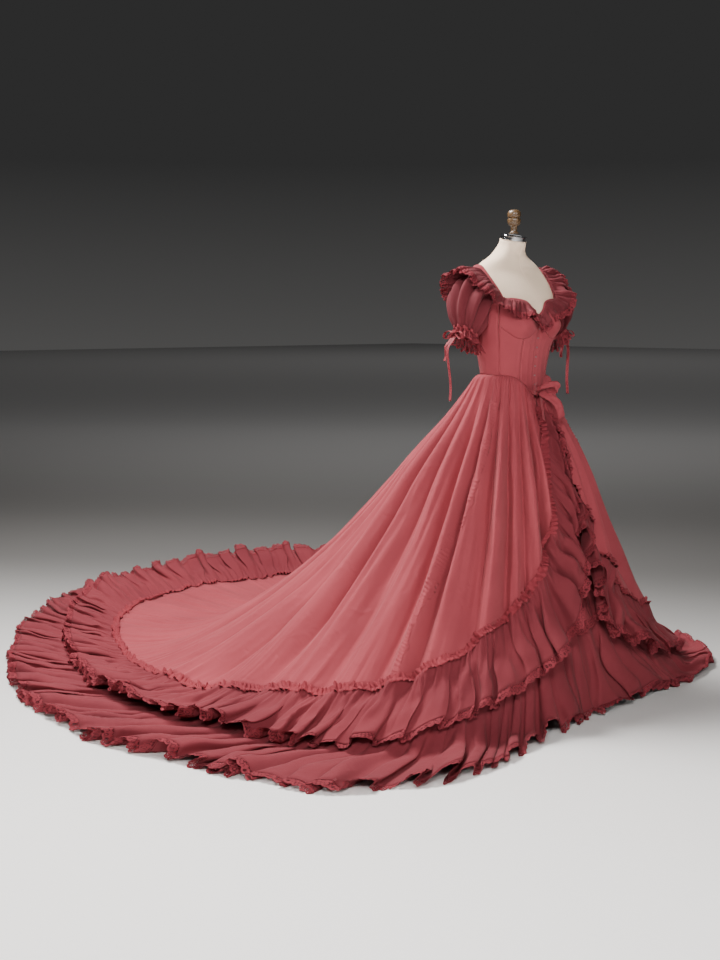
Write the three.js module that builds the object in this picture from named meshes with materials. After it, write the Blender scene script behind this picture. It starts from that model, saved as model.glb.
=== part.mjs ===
// A long-trained gown with tiered, lace-edged flounces, worn by a limbless dress form on a stand.
// Millimetres, +Z up. The front faces -Y, the train runs towards +Y, and the wearer's right is -X.
// The origin is on the floor, at the middle of the stand's base.
// Every cloth piece is a thin closed wall. Skirt pieces are laid out on one sloping surface that runs
// from the waist to the floor: "turn" is the angle round the figure from the front, positive to the
// wearer's left, and "along" is the distance down the slope from the waist.
import * as THREE from "three";

// ---- Driving dimensions ----
const CLOTH = 2; // thickness of a cloth wall
const LACE = 1.4; // thickness of a lace wall
const SEAM = 0.3; // gap between pieces that are sewn together
const HALF_SEAM = SEAM / 2;
const FLOUNCE_SEAM = 1.93; // room for the gathers where a flounce meets the cloth above it
const WAIST_SIDE_Z = 1066; // height of the waist seam at the sides and back
const WAIST_POINT_DROP = 66; // how far the bodice's front point comes down below that
const WAIST_POINT_SPREAD = 30; // degrees either side over which the point rises
const WAIST_EASE = 6.2; // room between the figure and the underskirt at the waist
const NECK_TOP_Z = 1488; // top of the form's neck, at its middle
const NECK_TILT = 12; // degrees by which the neck's top leans to the front
const PLEATS_A_SIDE = 15;
const UPPER_WAVES_A_SIDE = 25;
const LOWER_WAVES_A_SIDE = 25;
const TIER_WAVES = 7;
const NECK_WAVES_A_SIDE = 12;
const SLEEVE_GATHERS = 8;
const POINTS_A_WAVE = 3;
const FLOUNCE_OVERLAP = 95; // how far the upper flounce covers the lower one
const BODICE_LIFT = 4; // cloth's middle above the figure
const STAND_RADIUS = 165;
const POLE_RADIUS = 12;
const OPENING_TURN = 7; // where the overskirt's front edges start at the waist
const TOP_TUCK = 0.4; // how far below the waist seam the skirts start

// The slope from waist to floor. A row gives, at one turn, the two middle points of its curve
// (out from the axis, up from the floor), where it lands on the floor, and the hem's radius.
const SKIRT_SLOPE = [
  { turn: 0, hipOut: 205, hipUp: 690, calfOut: 290, calfUp: 330, lands: 365, hem: 380 },
  { turn: 40, hipOut: 215, hipUp: 700, calfOut: 335, calfUp: 330, lands: 530, hem: 565 },
  { turn: 70, hipOut: 240, hipUp: 730, calfOut: 480, calfUp: 260, lands: 755, hem: 900 },
  { turn: 105, hipOut: 285, hipUp: 760, calfOut: 650, calfUp: 160, lands: 1020, hem: 1290 },
  { turn: 140, hipOut: 330, hipUp: 770, calfOut: 800, calfUp: 60, lands: 1400, hem: 1790 },
  { turn: 160, hipOut: 330, hipUp: 775, calfOut: 835, calfUp: 45, lands: 1500, hem: 2160 },
  { turn: 180, hipOut: 330, hipUp: 775, calfOut: 850, calfUp: 40, lands: 1550, hem: 2420 },
];

// The overskirt's lower edge, where its flounce is gathered on, from the front of the waist round
// to the middle of the train. "slant" turns the flounce's fall from straight down the slope towards
// the front opening, and "width" is the flounce's. The train lies turned a little, so its two sides
// differ.
const EDGE_RIGHT = [
  { turn: 7, along: 40, slant: 48, width: 105 },
  { turn: 14, along: 150, slant: 44, width: 145 },
  { turn: 19, along: 320, slant: 36, width: 170 },
  { turn: 25, along: 480, slant: 30, width: 190 },
  { turn: 33, along: 625, slant: 24, width: 215 },
  { turn: 46, along: 735, slant: 12, width: 250 },
  { turn: 60, along: 845, slant: 4, width: 265 },
  { turn: 76, along: 1000, slant: 0, width: 265 },
  { turn: 92, along: 1120, slant: 0, width: 265 },
  { turn: 108, along: 1230, slant: 0, width: 265 },
  { turn: 122, along: 1400, slant: 0, width: 265 },
  { turn: 140, along: 1625, slant: 0, width: 265 },
  { turn: 152, along: 1840, slant: 0, width: 265 },
  { turn: 164, along: 2100, slant: 0, width: 265 },
  { turn: 173, along: 2270, slant: 0, width: 265 },
  { turn: 180, along: 2320, slant: 0, width: 265 },
];
const EDGE_LEFT = [
  ...EDGE_RIGHT.slice(0, 9),
  { turn: 108, along: 1270, slant: 0, width: 265 },
  { turn: 122, along: 1500, slant: 0, width: 265 },
  { turn: 140, along: 1905, slant: 0, width: 265 },
  { turn: 157, along: 2225, slant: 0, width: 265 },
  { turn: 168, along: 2350, slant: 0, width: 265 },
  { turn: 180, along: 2320, slant: 0, width: 265 },
];

// Where the lower flounce is gathered onto the underskirt, in front of the overskirt's edge.
const UNDER_EDGE_FRONT = [
  { turn: 0, along: 700 },
  { turn: 22, along: 722 },
  { turn: 40, along: 850 },
  { turn: 60, along: 1015 },
];

// The figure's cross-sections, half sizes.
const FIGURE = [
  { up: 800, side: 170, front: 110, back: 120 },
  { up: 860, side: 174, front: 114, back: 124 },
  { up: 920, side: 166, front: 110, back: 116 },
  { up: 1000, side: 139, front: 97, back: 94 },
  { up: 1060, side: 119, front: 87, back: 77 },
  { up: 1120, side: 128, front: 90, back: 80 },
  { up: 1180, side: 146, front: 96, back: 88 },
  { up: 1230, side: 160, front: 102, back: 94 },
  { up: 1280, side: 168, front: 98, back: 98 },
  { up: 1320, side: 171, front: 88, back: 98 },
  { up: 1350, side: 164, front: 76, back: 92 },
  { up: 1375, side: 136, front: 66, back: 82 },
  { up: 1395, side: 100, front: 58, back: 74 },
  { up: 1415, side: 72, front: 54, back: 66 },
  { up: 1440, side: 59, front: 52, back: 60 },
  { up: NECK_TOP_Z, side: 54, front: 51, back: 53 },
];
const BUST = { turn: 33, up: 1236, out: 33, turnSpread: 21, upSpread: 46 };
const CUP_EASE = 5; // how much flatter the form's own bust is than the cups

// The bodice's top edge and the seam under each cup, by turn.
const NECKLINE = [
  { turn: 0, up: 1272 },
  { turn: 10, up: 1284 },
  { turn: 24, up: 1314 },
  { turn: 42, up: 1320 },
  { turn: 56, up: 1314 },
  { turn: 70, up: 1282 },
  { turn: 92, up: 1262 },
  { turn: 112, up: 1278 },
  { turn: 128, up: 1306 },
  { turn: 150, up: 1300 },
  { turn: 180, up: 1296 },
];
const CUP = { from: 4, to: 67, sideUp: 1240, drop: 47 };
// Bodice seams, as turns at the waist and at the top.
const SEAMS = [
  { name: "placket", waist: 4, top: 4 },
  { name: "front", waist: 37, top: 34 },
  { name: "princess", waist: 70, top: 67 },
  { name: "side", waist: 112, top: 106 },
  { name: "back", waist: 180, top: 180 },
];
const SEAM_TURN = 0.12; // half the gap at an upright seam, in degrees

const COLOURS = {
  cloth: { color: 0xa8464d, roughness: 0.75, metalness: 0 },
  lace: { color: 0x8c333c, roughness: 0.85, metalness: 0 },
  linen: { color: 0xd9cdbf, roughness: 0.9, metalness: 0 },
  wood: { color: 0x7d6030, roughness: 0.45, metalness: 0 },
  steel: { color: 0xc8cacc, roughness: 0.25, metalness: 1 },
  iron: { color: 0x2b2b2d, roughness: 0.6, metalness: 0.6 },
};

// ---- Small helpers ----
const radians = THREE.MathUtils.degToRad;
const smooth = (x, from, to) => THREE.MathUtils.smoothstep(x, from, to);
const vec = (x, y, z) => new THREE.Vector3(x, y, z);
const steps = (count) => Array.from({ length: count + 1 }, (_, i) => i / count);

/** Smooth value of one column of a table at x, with the first column as key. */
function tableAt(table, key, column, x) {
  const last = table.length - 1;
  const at = THREE.MathUtils.clamp(x, table[0][key], table[last][key]);
  let i = table.findIndex((row) => row[key] > at) - 1;
  if (i < 0) i = last - 1;
  const slope = (k) => (k === 0 || k === last ? 0
    : (table[k + 1][column] - table[k - 1][column]) / (table[k + 1][key] - table[k - 1][key]));
  const span = table[i + 1][key] - table[i][key];
  const t = (at - table[i][key]) / span;
  return (2 * t ** 3 - 3 * t * t + 1) * table[i][column] + (t ** 3 - 2 * t * t + t) * span * slope(i)
    + (3 * t * t - 2 * t ** 3) * table[i + 1][column] + (t ** 3 - t * t) * span * slope(i + 1);
}

/** A closed wall of cloth round a grid of middle points. A loop's columns join up. With a side
 * given (-1 right, 1 left) the piece keeps off the middle plane by half a seam. */
function wall(rows, { thickness = CLOTH, loop = false, side = 0 } = {}) {
  const columns = rows[0].length;
  const lastRow = rows.length - 1;
  const wrap = (j) => (loop ? (j + columns) % columns : THREE.MathUtils.clamp(j, 0, columns - 1));
  const sides = [[], []];
  rows.forEach((row, i) => row.forEach((p, j) => {
    const across = row[wrap(j + 1)].clone().sub(row[wrap(j - 1)]);
    const down = rows[Math.min(i + 1, lastRow)][j].clone().sub(rows[Math.max(i - 1, 0)][j]);
    const normal = across.cross(down).normalize();
    [1, -1].forEach((way, face) => {
      const q = p.clone().addScaledVector(normal, (way * thickness) / 2);
      const x = side ? side * Math.max(side * q.x, HALF_SEAM) : q.x;
      sides[face].push(x, q.y, Math.max(q.z, 0));
    });
  }));
  const inner = rows.length * columns;
  const index = [];
  const quad = (a, b, c, d) => index.push(a, b, c, a, c, d);
  const spans = loop ? columns : columns - 1;
  for (let i = 0; i < lastRow; i++) {
    for (let j = 0; j < spans; j++) {
      const a = i * columns + j;
      const b = i * columns + wrap(j + 1);
      quad(a, a + columns, b + columns, b);
      quad(inner + a, inner + b, inner + b + columns, inner + a + columns);
    }
    if (!loop) {
      const a = i * columns;
      const b = a + columns - 1;
      quad(a, inner + a, inner + a + columns, a + columns);
      quad(b, b + columns, inner + b + columns, inner + b);
    }
  }
  for (let j = 0; j < spans; j++) {
    const a = j;
    const b = wrap(j + 1);
    const end = lastRow * columns;
    quad(a, b, inner + b, inner + a);
    quad(end + a, inner + end + a, inner + end + b, end + b);
  }
  return closedGeometry([...sides[0], ...sides[1]], index);
}

/** A geometry from points and faces, with the faces turned outwards. */
function closedGeometry(positions, index) {
  const corner = (i) => vec(...positions.slice(3 * i, 3 * i + 3));
  let volume = 0;
  for (let i = 0; i < index.length; i += 3) {
    volume += corner(index[i]).dot(corner(index[i + 1]).cross(corner(index[i + 2])));
  }
  const turned = volume < 0 ? index.slice().reverse() : index;
  return new THREE.BufferGeometry()
    .setAttribute("position", new THREE.Float32BufferAttribute(positions, 3))
    .setIndex(turned);
}

/** A solid lofted through rings of equal length, with flat ends. */
function loft(rings) {
  const columns = rings[0].length;
  const positions = rings.flat().flatMap((p) => [p.x, p.y, p.z]);
  const index = [];
  for (let i = 0; i < rings.length - 1; i++) {
    for (let j = 0; j < columns; j++) {
      const a = i * columns + j;
      const b = i * columns + ((j + 1) % columns);
      index.push(a, b, b + columns, a, b + columns, a + columns);
    }
  }
  [0, rings.length - 1].forEach((i) => {
    const middle = rings[i].reduce((sum, p) => sum.add(p), vec(0, 0, 0)).divideScalar(columns);
    const centre = positions.length / 3;
    positions.push(middle.x, middle.y, middle.z);
    for (let j = 0; j < columns; j++) {
      const a = i * columns + j;
      const b = i * columns + ((j + 1) % columns);
      if (i === 0) index.push(centre, b, a);
      else index.push(centre, a, b);
    }
  });
  return closedGeometry(positions, index);
}

const gown = new THREE.Group();
/** Adds one named piece. */
function add(name, geometry, colour) {
  const mesh = new THREE.Mesh(geometry, new THREE.MeshStandardMaterial(COLOURS[colour]));
  mesh.name = name;
  gown.add(mesh);
  return mesh;
}
const bothSides = (make) => [["right", -1], ["left", 1]].forEach(([side, way]) => make(side, way));

// ---- The figure ----
/** How far the figure's surface is from the axis, at a turn and a height. */
function figureRadius(turn, up, bustOut = BUST.out) {
  const side = tableAt(FIGURE, "up", "side", up);
  const depth = tableAt(FIGURE, "up", Math.abs(turn) < 90 ? "front" : "back", up);
  const a = radians(turn);
  const power = 2.2;
  const oval = (Math.abs(Math.sin(a) / side) ** power + Math.abs(Math.cos(a) / depth) ** power) ** (-1 / power);
  const bust = Math.exp(-(((Math.abs(turn) - BUST.turn) / BUST.turnSpread) ** 2)
    - ((up - BUST.up) / BUST.upSpread) ** 2);
  return oval + bustOut * bust;
}

/** A point over the figure, at a turn and height, lifted off its surface. */
function figurePoint(turn, up, lift = 0) {
  const a = radians(turn);
  const out = figureRadius(turn, up) + lift;
  return vec(out * Math.sin(a), -out * Math.cos(a), up);
}

/** A point over the shoulder: "side" from the middle, "over" degrees from the front to the back. */
function shoulderPoint(side, over, lift) {
  const a = radians(over);
  const from = vec(side, 4, 1300);
  const way = vec(0, -Math.cos(a), Math.sin(a));
  let reach = 20;
  for (let step = 64; step > 0.05; step /= 2) {
    const p = from.clone().addScaledVector(way, reach + step);
    const turn = THREE.MathUtils.radToDeg(Math.atan2(p.x, -p.y));
    if (Math.hypot(p.x, p.y) < figureRadius(turn, p.z)) reach += step;
  }
  return from.addScaledVector(way, reach + lift);
}

function makeForm() {
  const tilt = Math.tan(radians(NECK_TILT));
  const sections = [
    800, 860, 930, 1000, 1060, 1110, 1155, 1195, 1236, 1285, 1330, 1358, 1378, 1396, 1416, 1445, NECK_TOP_Z,
  ];
  const rings = sections.map((up) => steps(24).slice(0, -1).map((part) => {
    const turn = part * 360 - 180;
    const out = figureRadius(turn, up, BUST.out - CUP_EASE);
    const p = vec(out * Math.sin(radians(turn)), -out * Math.cos(radians(turn)), up);
    p.z += p.y * tilt * smooth(up, 1420, NECK_TOP_Z);
    return p;
  }));
  add("form_body", loft(rings), "linen");

  const capHeight = 13;
  const cap = add("form_neck_cap", new THREE.CylinderGeometry(56, 56, capHeight, 24), "steel");
  cap.rotation.x = Math.PI / 2 + radians(NECK_TILT);
  const lean = radians(NECK_TILT);
  const above = SEAM + capHeight / 2;
  cap.position.set(0, -above * Math.sin(lean), NECK_TOP_Z + above * Math.cos(lean));

  const finialFoot = NECK_TOP_Z + capHeight + 3.6;
  const profile = [
    [0, 0], [15, 0], [15, 5], [10, 9], [12, 24], [18, 30], [22, 42], [21, 48], [17, 51], [20, 54],
    [22, 60], [20, 72], [12, 77], [0, 78],
  ];
  const finial = add("form_finial",
    new THREE.LatheGeometry(profile.map(([out, up]) => new THREE.Vector2(out, up)), 12), "wood");
  finial.rotation.x = Math.PI / 2;
  finial.position.set(0, -3, finialFoot);

  const baseHeight = 10;
  const poleTop = 800 - SEAM;
  const pole = add("form_pole",
    new THREE.CylinderGeometry(POLE_RADIUS, POLE_RADIUS, poleTop - baseHeight - SEAM, 12), "iron");
  pole.rotation.x = Math.PI / 2;
  pole.position.z = (poleTop + baseHeight + SEAM) / 2;
  const base = add("form_base",
    new THREE.CylinderGeometry(STAND_RADIUS - 6, STAND_RADIUS, baseHeight, 24), "iron");
  base.rotation.x = Math.PI / 2;
  base.position.z = baseHeight / 2;
}

// ---- The bodice ----
const waistUp = (turn) => WAIST_SIDE_Z - WAIST_POINT_DROP * Math.exp(-((turn / WAIST_POINT_SPREAD) ** 2));
const necklineUp = (turn) => tableAt(NECKLINE, "turn", "up", Math.abs(turn));

/** Height of the seam under the cup. */
function underCup(turn) {
  const x = (2 * (turn - CUP.from)) / (CUP.to - CUP.from) - 1;
  return CUP.sideUp - CUP.drop * (1 - x * x);
}

/** A bodice panel between two or more seams, up through the given curves of the turn. */
function panel(way, seams, curves, columns = 4) {
  const rowsBetween = [4, 3];
  const grid = [];
  const rowAt = (share, lower, upper, part) => steps(columns * (seams.length - 1)).map((across, j, all) => {
    const span = Math.min(Math.floor(j / columns), seams.length - 2);
    const seamAt = (seam) => THREE.MathUtils.lerp(seam.waist, seam.top, share);
    const turn = THREE.MathUtils.lerp(seamAt(seams[span]), seamAt(seams[span + 1]), j / columns - span)
      + (j === 0 ? SEAM_TURN : 0) - (j === all.length - 1 ? SEAM_TURN : 0);
    return figurePoint(way * turn, THREE.MathUtils.lerp(lower(turn), upper(turn), part), BODICE_LIFT);
  });
  curves.slice(1).forEach((upper, k) => {
    const bottom = (turn) => curves[k](turn) + (k === 0 ? SEAM : 0);
    const top = (turn) => upper(turn) - (k === curves.length - 2 ? SEAM : 0);
    const level = curves[0] === waistUp ? k : 1;
    steps(rowsBetween[level]).slice(k === 0 ? 0 : 1).forEach((part) =>
      grid.push(rowAt(level === 0 ? part : 1, bottom, top, part)));
  });
  return wall(grid, { side: way });
}

function makeBodice() {
  const middle = { waist: 0, top: 0 };
  const [placket, front, princess, sideSeam, back] = SEAMS;
  const bustUp = () => CUP.sideUp;
  bothSides((side, way) => {
    const make = (name, ...shape) => add(`${name}_${side}`, panel(way, ...shape), "cloth");
    make("placket", [middle, placket], [waistUp, bustUp, necklineUp], 1);
    make("cup", [placket, front, princess], [underCup, necklineUp]);
    make("front_panel", [placket, front], [waistUp, underCup]);
    make("princess_panel", [front, princess], [waistUp, underCup]);
    make("side_panel", [princess, sideSeam], [waistUp, bustUp, necklineUp]);
    make("back_panel", [sideSeam, back], [waistUp, bustUp, necklineUp], 6);

    const strap = steps(9).map((part) => [104, 121, 138].map((x) => {
      const p = shoulderPoint(x, THREE.MathUtils.lerp(13, 168, part), BODICE_LIFT);
      p.x *= way;
      return p;
    }));
    add(`strap_${side}`, wall(strap), "cloth");
  });
  makeClasps();
}

/** The busk's clasps, set on the flats of the placket. */
function makeClasps() {
  const levels = steps(4).map((part) => THREE.MathUtils.lerp(waistUp(0), CUP.sideUp, part));
  const claspDepth = 1.6;
  const spots = levels.slice(0, 4).flatMap((_, k) => [[k, 0.25], [k, 0.75]]).slice(1);
  const outermost = (up) => Math.min(...[0, SEAMS[0].waist].map((turn) => figurePoint(turn, up, BODICE_LIFT).y));
  spots.forEach(([k, part], number) => {
    const ends = [levels[k], levels[k + 1]].map((up) => vec(0, outermost(up), up));
    const along = ends[1].clone().sub(ends[0]);
    const outwards = vec(0, -along.z, along.y).normalize();
    const clasp = add(`busk_clasp_${number + 1}`, new THREE.BoxGeometry(9, claspDepth, 5), "steel");
    clasp.position.copy(ends[0]).addScaledVector(along, part)
      .addScaledVector(outwards, CLOTH / 2 + SEAM + claspDepth / 2);
    clasp.rotation.x = -Math.atan2(along.y, along.z);
  });
}

// ---- Ruffles in general ----
/** Height of a gathered ruffle's wave, 0 to 1, that leans a little as real folds do. */
function waveAt(part, waves, seed = 0) {
  const x = 2 * Math.PI * waves * part;
  const uneven = 1 - 0.3 * (1 + Math.sin(1.7 * x / (2 * Math.PI) * 2.399 + seed)) / 2;
  return (uneven * (1 - Math.cos(x))) / 2;
}

// ---- The neck ruffle ----
/** Where the ruffle is sewn on, with the way it falls and its width, from front to back. */
function neckRuffleKeys() {
  const edge = 5;
  const onBodice = (turn, outwards, width) => ({
    at: figurePoint(turn, necklineUp(turn) - edge, BODICE_LIFT + CLOTH + 1.3),
    fall: vec(outwards * Math.sin(radians(turn)), -outwards * Math.cos(radians(turn)), -0.85).normalize(),
    width,
  });
  const onStrap = (over, fall, width) => ({
    at: shoulderPoint(134, over, BODICE_LIFT + CLOTH + 1.3),
    fall: fall.normalize(),
    width,
  });
  return [
    onBodice(1, 0.5, 44),
    onBodice(9, 0.56, 45),
    onBodice(18, 0.66, 46),
    onBodice(28, 0.7, 48),
    onBodice(38, 0.7, 50),
    onBodice(47, 0.75, 52),
    onStrap(20, vec(0.72, -0.66, -0.2), 58),
    onStrap(35, vec(0.74, -0.55, 0.25), 66),
    onStrap(55, vec(0.74, -0.35, 0.58), 72),
    onStrap(80, vec(0.7, -0.05, 0.7), 76),
    onStrap(105, vec(0.7, 0.15, 0.66), 74),
    onStrap(130, vec(0.72, 0.4, 0.5), 68),
    onStrap(150, vec(0.66, 0.68, 0.1), 60),
    onBodice(135, 0.75, 52),
    onBodice(146, 0.6, 48),
    onBodice(162, 0.5, 46),
    onBodice(179, 0.5, 44),
  ];
}

function makeNeckRuffle() {
  const keys = neckRuffleKeys();
  const path = new THREE.CatmullRomCurve3(keys.map((key) => key.at), false, "centripetal");
  const columns = NECK_WAVES_A_SIDE * POINTS_A_WAVE;
  bothSides((side, way) => {
    const rows = [0, 0.5, 1].map((down) => steps(columns).map((part) => {
      const t = path.getUtoTmapping(part);
      const place = t * (keys.length - 1);
      const i = Math.min(Math.floor(place), keys.length - 2);
      const fall = keys[i].fall.clone().lerp(keys[i + 1].fall, place - i).normalize();
      const width = THREE.MathUtils.lerp(keys[i].width, keys[i + 1].width, place - i);
      const out = path.getTangent(t).cross(fall).normalize().negate();
      const wave = waveAt(part, NECK_WAVES_A_SIDE) * 14 * down;
      const p = path.getPoint(t).addScaledVector(fall, width * down).addScaledVector(out, wave);
      p.x *= way;
      return p;
    }));
    add(`neck_ruffle_${side}`, wall(rows, { thickness: LACE, side: way }), "lace");
  });
}

// ---- Sleeves ----
// A sleeve runs between a line over the shoulder and down the arm's outside and a line under the arm.
const SLEEVE_OUTSIDE = new THREE.CubicBezierCurve3(
  vec(147, 4, 1386), vec(245, 4, 1412), vec(312, 4, 1345), vec(293, 4, 1194));
const SLEEVE_INSIDE = new THREE.QuadraticBezierCurve3(vec(172.1, 4, 1258), vec(190, 4, 1226), vec(207, 4, 1194));
const SLEEVE_DEPTH = [
  { down: 0, depth: 56 },
  { down: 0.25, depth: 70 },
  { down: 0.6, depth: 79 },
  { down: 0.85, depth: 70 },
  { down: 1, depth: 47 },
];
const CUFF_WAVE = 4;

/** A ring of a sleeve, or of its frill below the cuff, grown outwards by "flare". */
function sleeveRing(way, down, { flare = 0, gather = CUFF_WAVE, drop = 0 } = {}) {
  const outside = SLEEVE_OUTSIDE.getPoint(down);
  const inside = SLEEVE_INSIDE.getPoint(down);
  const centre = outside.clone().add(inside).multiplyScalar(0.5);
  const half = outside.clone().sub(centre);
  const depth = tableAt(SLEEVE_DEPTH, "down", "depth", down);
  const columns = SLEEVE_GATHERS * POINTS_A_WAVE;
  return steps(columns).slice(0, -1).map((part) => {
    const a = 2 * Math.PI * part;
    const grown = flare + gather * Math.cos(a * SLEEVE_GATHERS);
    const p = centre.clone().addScaledVector(half, (1 + grown / half.length()) * Math.cos(a));
    return vec(way * p.x, p.y + (depth + grown) * Math.sin(a), p.z - drop);
  });
}

function makeSleeves() {
  bothSides((side, way) => {
    const rings = [0, 0.2, 0.45, 0.7, 0.88, 1].map((down) =>
      sleeveRing(way, down, { gather: CUFF_WAVE * (0.25 + 0.75 * smooth(down, 0, 0.5)) }));
    add(`sleeve_${side}`, wall(rings, { loop: true }), "cloth");
    const frill = [
      sleeveRing(way, 1, { drop: 0.9 }),
      sleeveRing(way, 1, { drop: 19, flare: 8, gather: 6 }),
      sleeveRing(way, 1, { drop: 40, flare: 20, gather: 9 }),
    ];
    add(`cuff_frill_${side}`, wall(frill, { loop: true, thickness: LACE }), "lace");
    makeSleeveTie(side, way);
  });
}

/** A flat ribbon along a path: its width runs in the given direction. */
function ribbon(points, across, width, { loop = false, thickness = 1.2, sections = 12, side = 0 } = {}) {
  const path = new THREE.CatmullRomCurve3(points, loop, "centripetal");
  const marks = loop ? steps(sections).slice(0, -1) : steps(sections);
  const rows = [-0.5, 0.5].map((half) => marks.map((part) =>
    path.getPoint(part).addScaledVector(across.clone().normalize(), half * width)));
  return wall(rows, { thickness, loop, side });
}

/** The narrow tie round the cuff: a small bow on the outer front of the arm, with two tails. */
function makeSleeveTie(side, way) {
  const outside = SLEEVE_OUTSIDE.getPoint(1);
  const inside = SLEEVE_INSIDE.getPoint(1);
  const centre = outside.clone().add(inside).multiplyScalar(0.5);
  const half = (outside.x - inside.x) / 2;
  const depth = SLEEVE_DEPTH[SLEEVE_DEPTH.length - 1].depth;
  const knotRadius = 6;
  const ribbonWidth = 11;
  const facing = radians(38);
  const spot = vec(Math.cos(facing), -Math.sin(facing), 0);
  const cuffOut = 1 / Math.hypot(spot.x / half, spot.y / depth);
  const knotAt = centre.clone().addScaledVector(spot, cuffOut + CUFF_WAVE * 0.3 + CLOTH / 2 + knotRadius);
  const sideways = vec(-spot.y, spot.x, 0);
  const place = (out, along, up) => {
    const p = knotAt.clone().addScaledVector(spot, out).addScaledVector(sideways, along);
    return vec(way * p.x, p.y, p.z + up);
  };
  const across = vec(way * spot.x, spot.y, 0);
  const knot = new THREE.SphereGeometry(knotRadius, 8, 6);
  add(`tie_knot_${side}`, knot, "cloth").position.copy(place(0, 0, 0));
  const loopFrom = knotRadius + 0.6;
  [["fore", -1], ["aft", 1]].forEach(([end, hand]) => {
    const loopPoints = [[loopFrom, 1], [22, 9], [40, 5], [45, -7], [36, -14], [20, -8]]
      .map(([along, up]) => place(4 + along * 0.14, hand * along, up - along * 0.1));
    add(`tie_loop_${end}_${side}`,
      ribbon(loopPoints, across, ribbonWidth, { loop: true, sections: 10 }), "cloth");
  });
  const tails = [{ name: "fore", along: -8, length: 205 }, { name: "aft", along: 9, length: 80 }];
  tails.forEach(({ name, along, length }) => {
    const points = steps(5).map((part) => {
      const drop = part * length;
      const out = 3 + 30 * smooth(drop, 0, 44) + 5 * Math.sin(part * 6);
      return place(out, along * (0.7 + part), -knotRadius - 0.6 - drop);
    });
    add(`tie_tail_${name}_${side}`, ribbon(points, vec(across.y, -across.x, 0), ribbonWidth,
      { sections: 7 }), "cloth");
  });
}

// ---- The skirts ----
const slopeCache = new Map();
/** The slope at one turn: points (out, up) with their distance from the waist. */
function slopeAt(turn) {
  const key = Math.abs(turn).toFixed(3);
  if (!slopeCache.has(key)) {
    const size = (column) => tableAt(SKIRT_SLOPE, "turn", column, Math.abs(turn));
    const up = waistUp(turn);
    const curve = new THREE.CubicBezierCurve(
      new THREE.Vector2(figureRadius(turn, up) + WAIST_EASE, up),
      new THREE.Vector2(size("hipOut"), size("hipUp")),
      new THREE.Vector2(size("calfOut"), size("calfUp")),
      new THREE.Vector2(size("lands"), 0),
    );
    const points = [...curve.getPoints(40), new THREE.Vector2(3500, 0)];
    let along = 0;
    const marks = points.map((p, i) => (along += i ? p.distanceTo(points[i - 1]) : 0));
    let bend = 0;
    const bends = points.map((p, i) => {
      if (i > 0) bend += (marks[i] - marks[i - 1]) / 2500;
      if (i > 1) {
        const before = points[i - 1].clone().sub(points[i - 2]);
        const after = p.clone().sub(points[i - 1]);
        bend += Math.abs(Math.atan2(before.cross(after), before.dot(after)));
      }
      return bend;
    });
    const landed = marks[40];
    slopeCache.set(key, { points, marks, bends, landed, hem: landed + size("hem") - size("lands") });
  }
  return slopeCache.get(key);
}

/** A point on the slope, lifted off it. */
function skirtPoint(turn, along, lift) {
  const { points, marks } = slopeAt(turn);
  let i = marks.findIndex((mark) => mark > along) - 1;
  if (i < 0) i = along <= 0 ? 0 : points.length - 2;
  const way = points[i + 1].clone().sub(points[i]).normalize();
  const next = points[Math.min(i + 2, points.length - 1)].clone().sub(points[i + 1]);
  const part = (along - marks[i]) / (marks[i + 1] - marks[i]);
  const bend = next.lengthSq() > 0 ? way.clone().lerp(next.normalize(), part * 0.5) : way;
  const out = points[i].x + way.x * (along - marks[i]) - bend.y * lift;
  const up = points[i].y + way.y * (along - marks[i]) + bend.x * lift;
  const a = radians(turn);
  return vec(out * Math.sin(a), -out * Math.cos(a), up);
}

/** Distances down the slope to "end", closer together where the slope bends. */
function rowsTo(turn, end, spans) {
  const { marks, bends } = slopeAt(turn);
  const read = (xs, ys, x) => {
    const i = Math.max(1, Math.min(xs.findIndex((mark) => mark >= x - 1e-9), xs.length - 1));
    return ys[i - 1] + ((ys[i] - ys[i - 1]) * (x - xs[i - 1])) / (xs[i] - xs[i - 1]);
  };
  const total = read(marks, bends, end);
  return steps(spans).map((part) => (part === 1 ? end : read(bends, marks, part * total)));
}

const edgeTable = (way) => (way < 0 ? EDGE_RIGHT : EDGE_LEFT);
const edgeAlong = (way, turn) => tableAt(edgeTable(way), "turn", "along", turn);

/** How much of the flounces' full width shows in plan, where they are pushed together. */
function reachAt(way, turn) {
  const fullWidth = 500;
  const room = slopeAt(turn).hem - edgeAlong(way, turn);
  return turn < 100 ? 1 : Math.min(1, room / fullWidth);
}

/** Height of the overskirt's cloth above the slope, with its unpressed pleats. */
function overskirtLift(way, turn, along) {
  const atOpening = 1 - smooth(turn, 34, 62);
  const clear = 3.6 + 9.4 * smooth(along, 0, 150) + 24 * atOpening * smooth(along, 40, 320);
  const { landed } = slopeAt(turn);
  const depth = (3 + 27 * smooth(along, 0, 620)) * (1 - 0.85 * smooth(along, landed - 500, landed + 150));
  return clear + depth * waveAt((turn - OPENING_TURN) / (180 - OPENING_TURN), PLEATS_A_SIDE, way);
}

/** Points along the overskirt's edge, evenly spaced in length, between two turns. */
function edgeMarks(way, fromTurn, toTurn, count) {
  const fine = steps(240).map((part) => {
    const turn = THREE.MathUtils.lerp(fromTurn, toTurn, part);
    return { turn, at: skirtPoint(turn, edgeAlong(way, turn), 0) };
  });
  let length = 0;
  fine.forEach((mark, i) => {
    length += i ? mark.at.distanceTo(fine[i - 1].at) : 0;
    mark.length = length;
  });
  return steps(count).map((part) => {
    const target = part * length;
    const i = Math.max(1, fine.findIndex((mark) => mark.length >= target - 1e-9));
    const share = (target - fine[i - 1].length) / (fine[i].length - fine[i - 1].length);
    return THREE.MathUtils.lerp(fine[i - 1].turn, fine[i].turn, share);
  });
}

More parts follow.
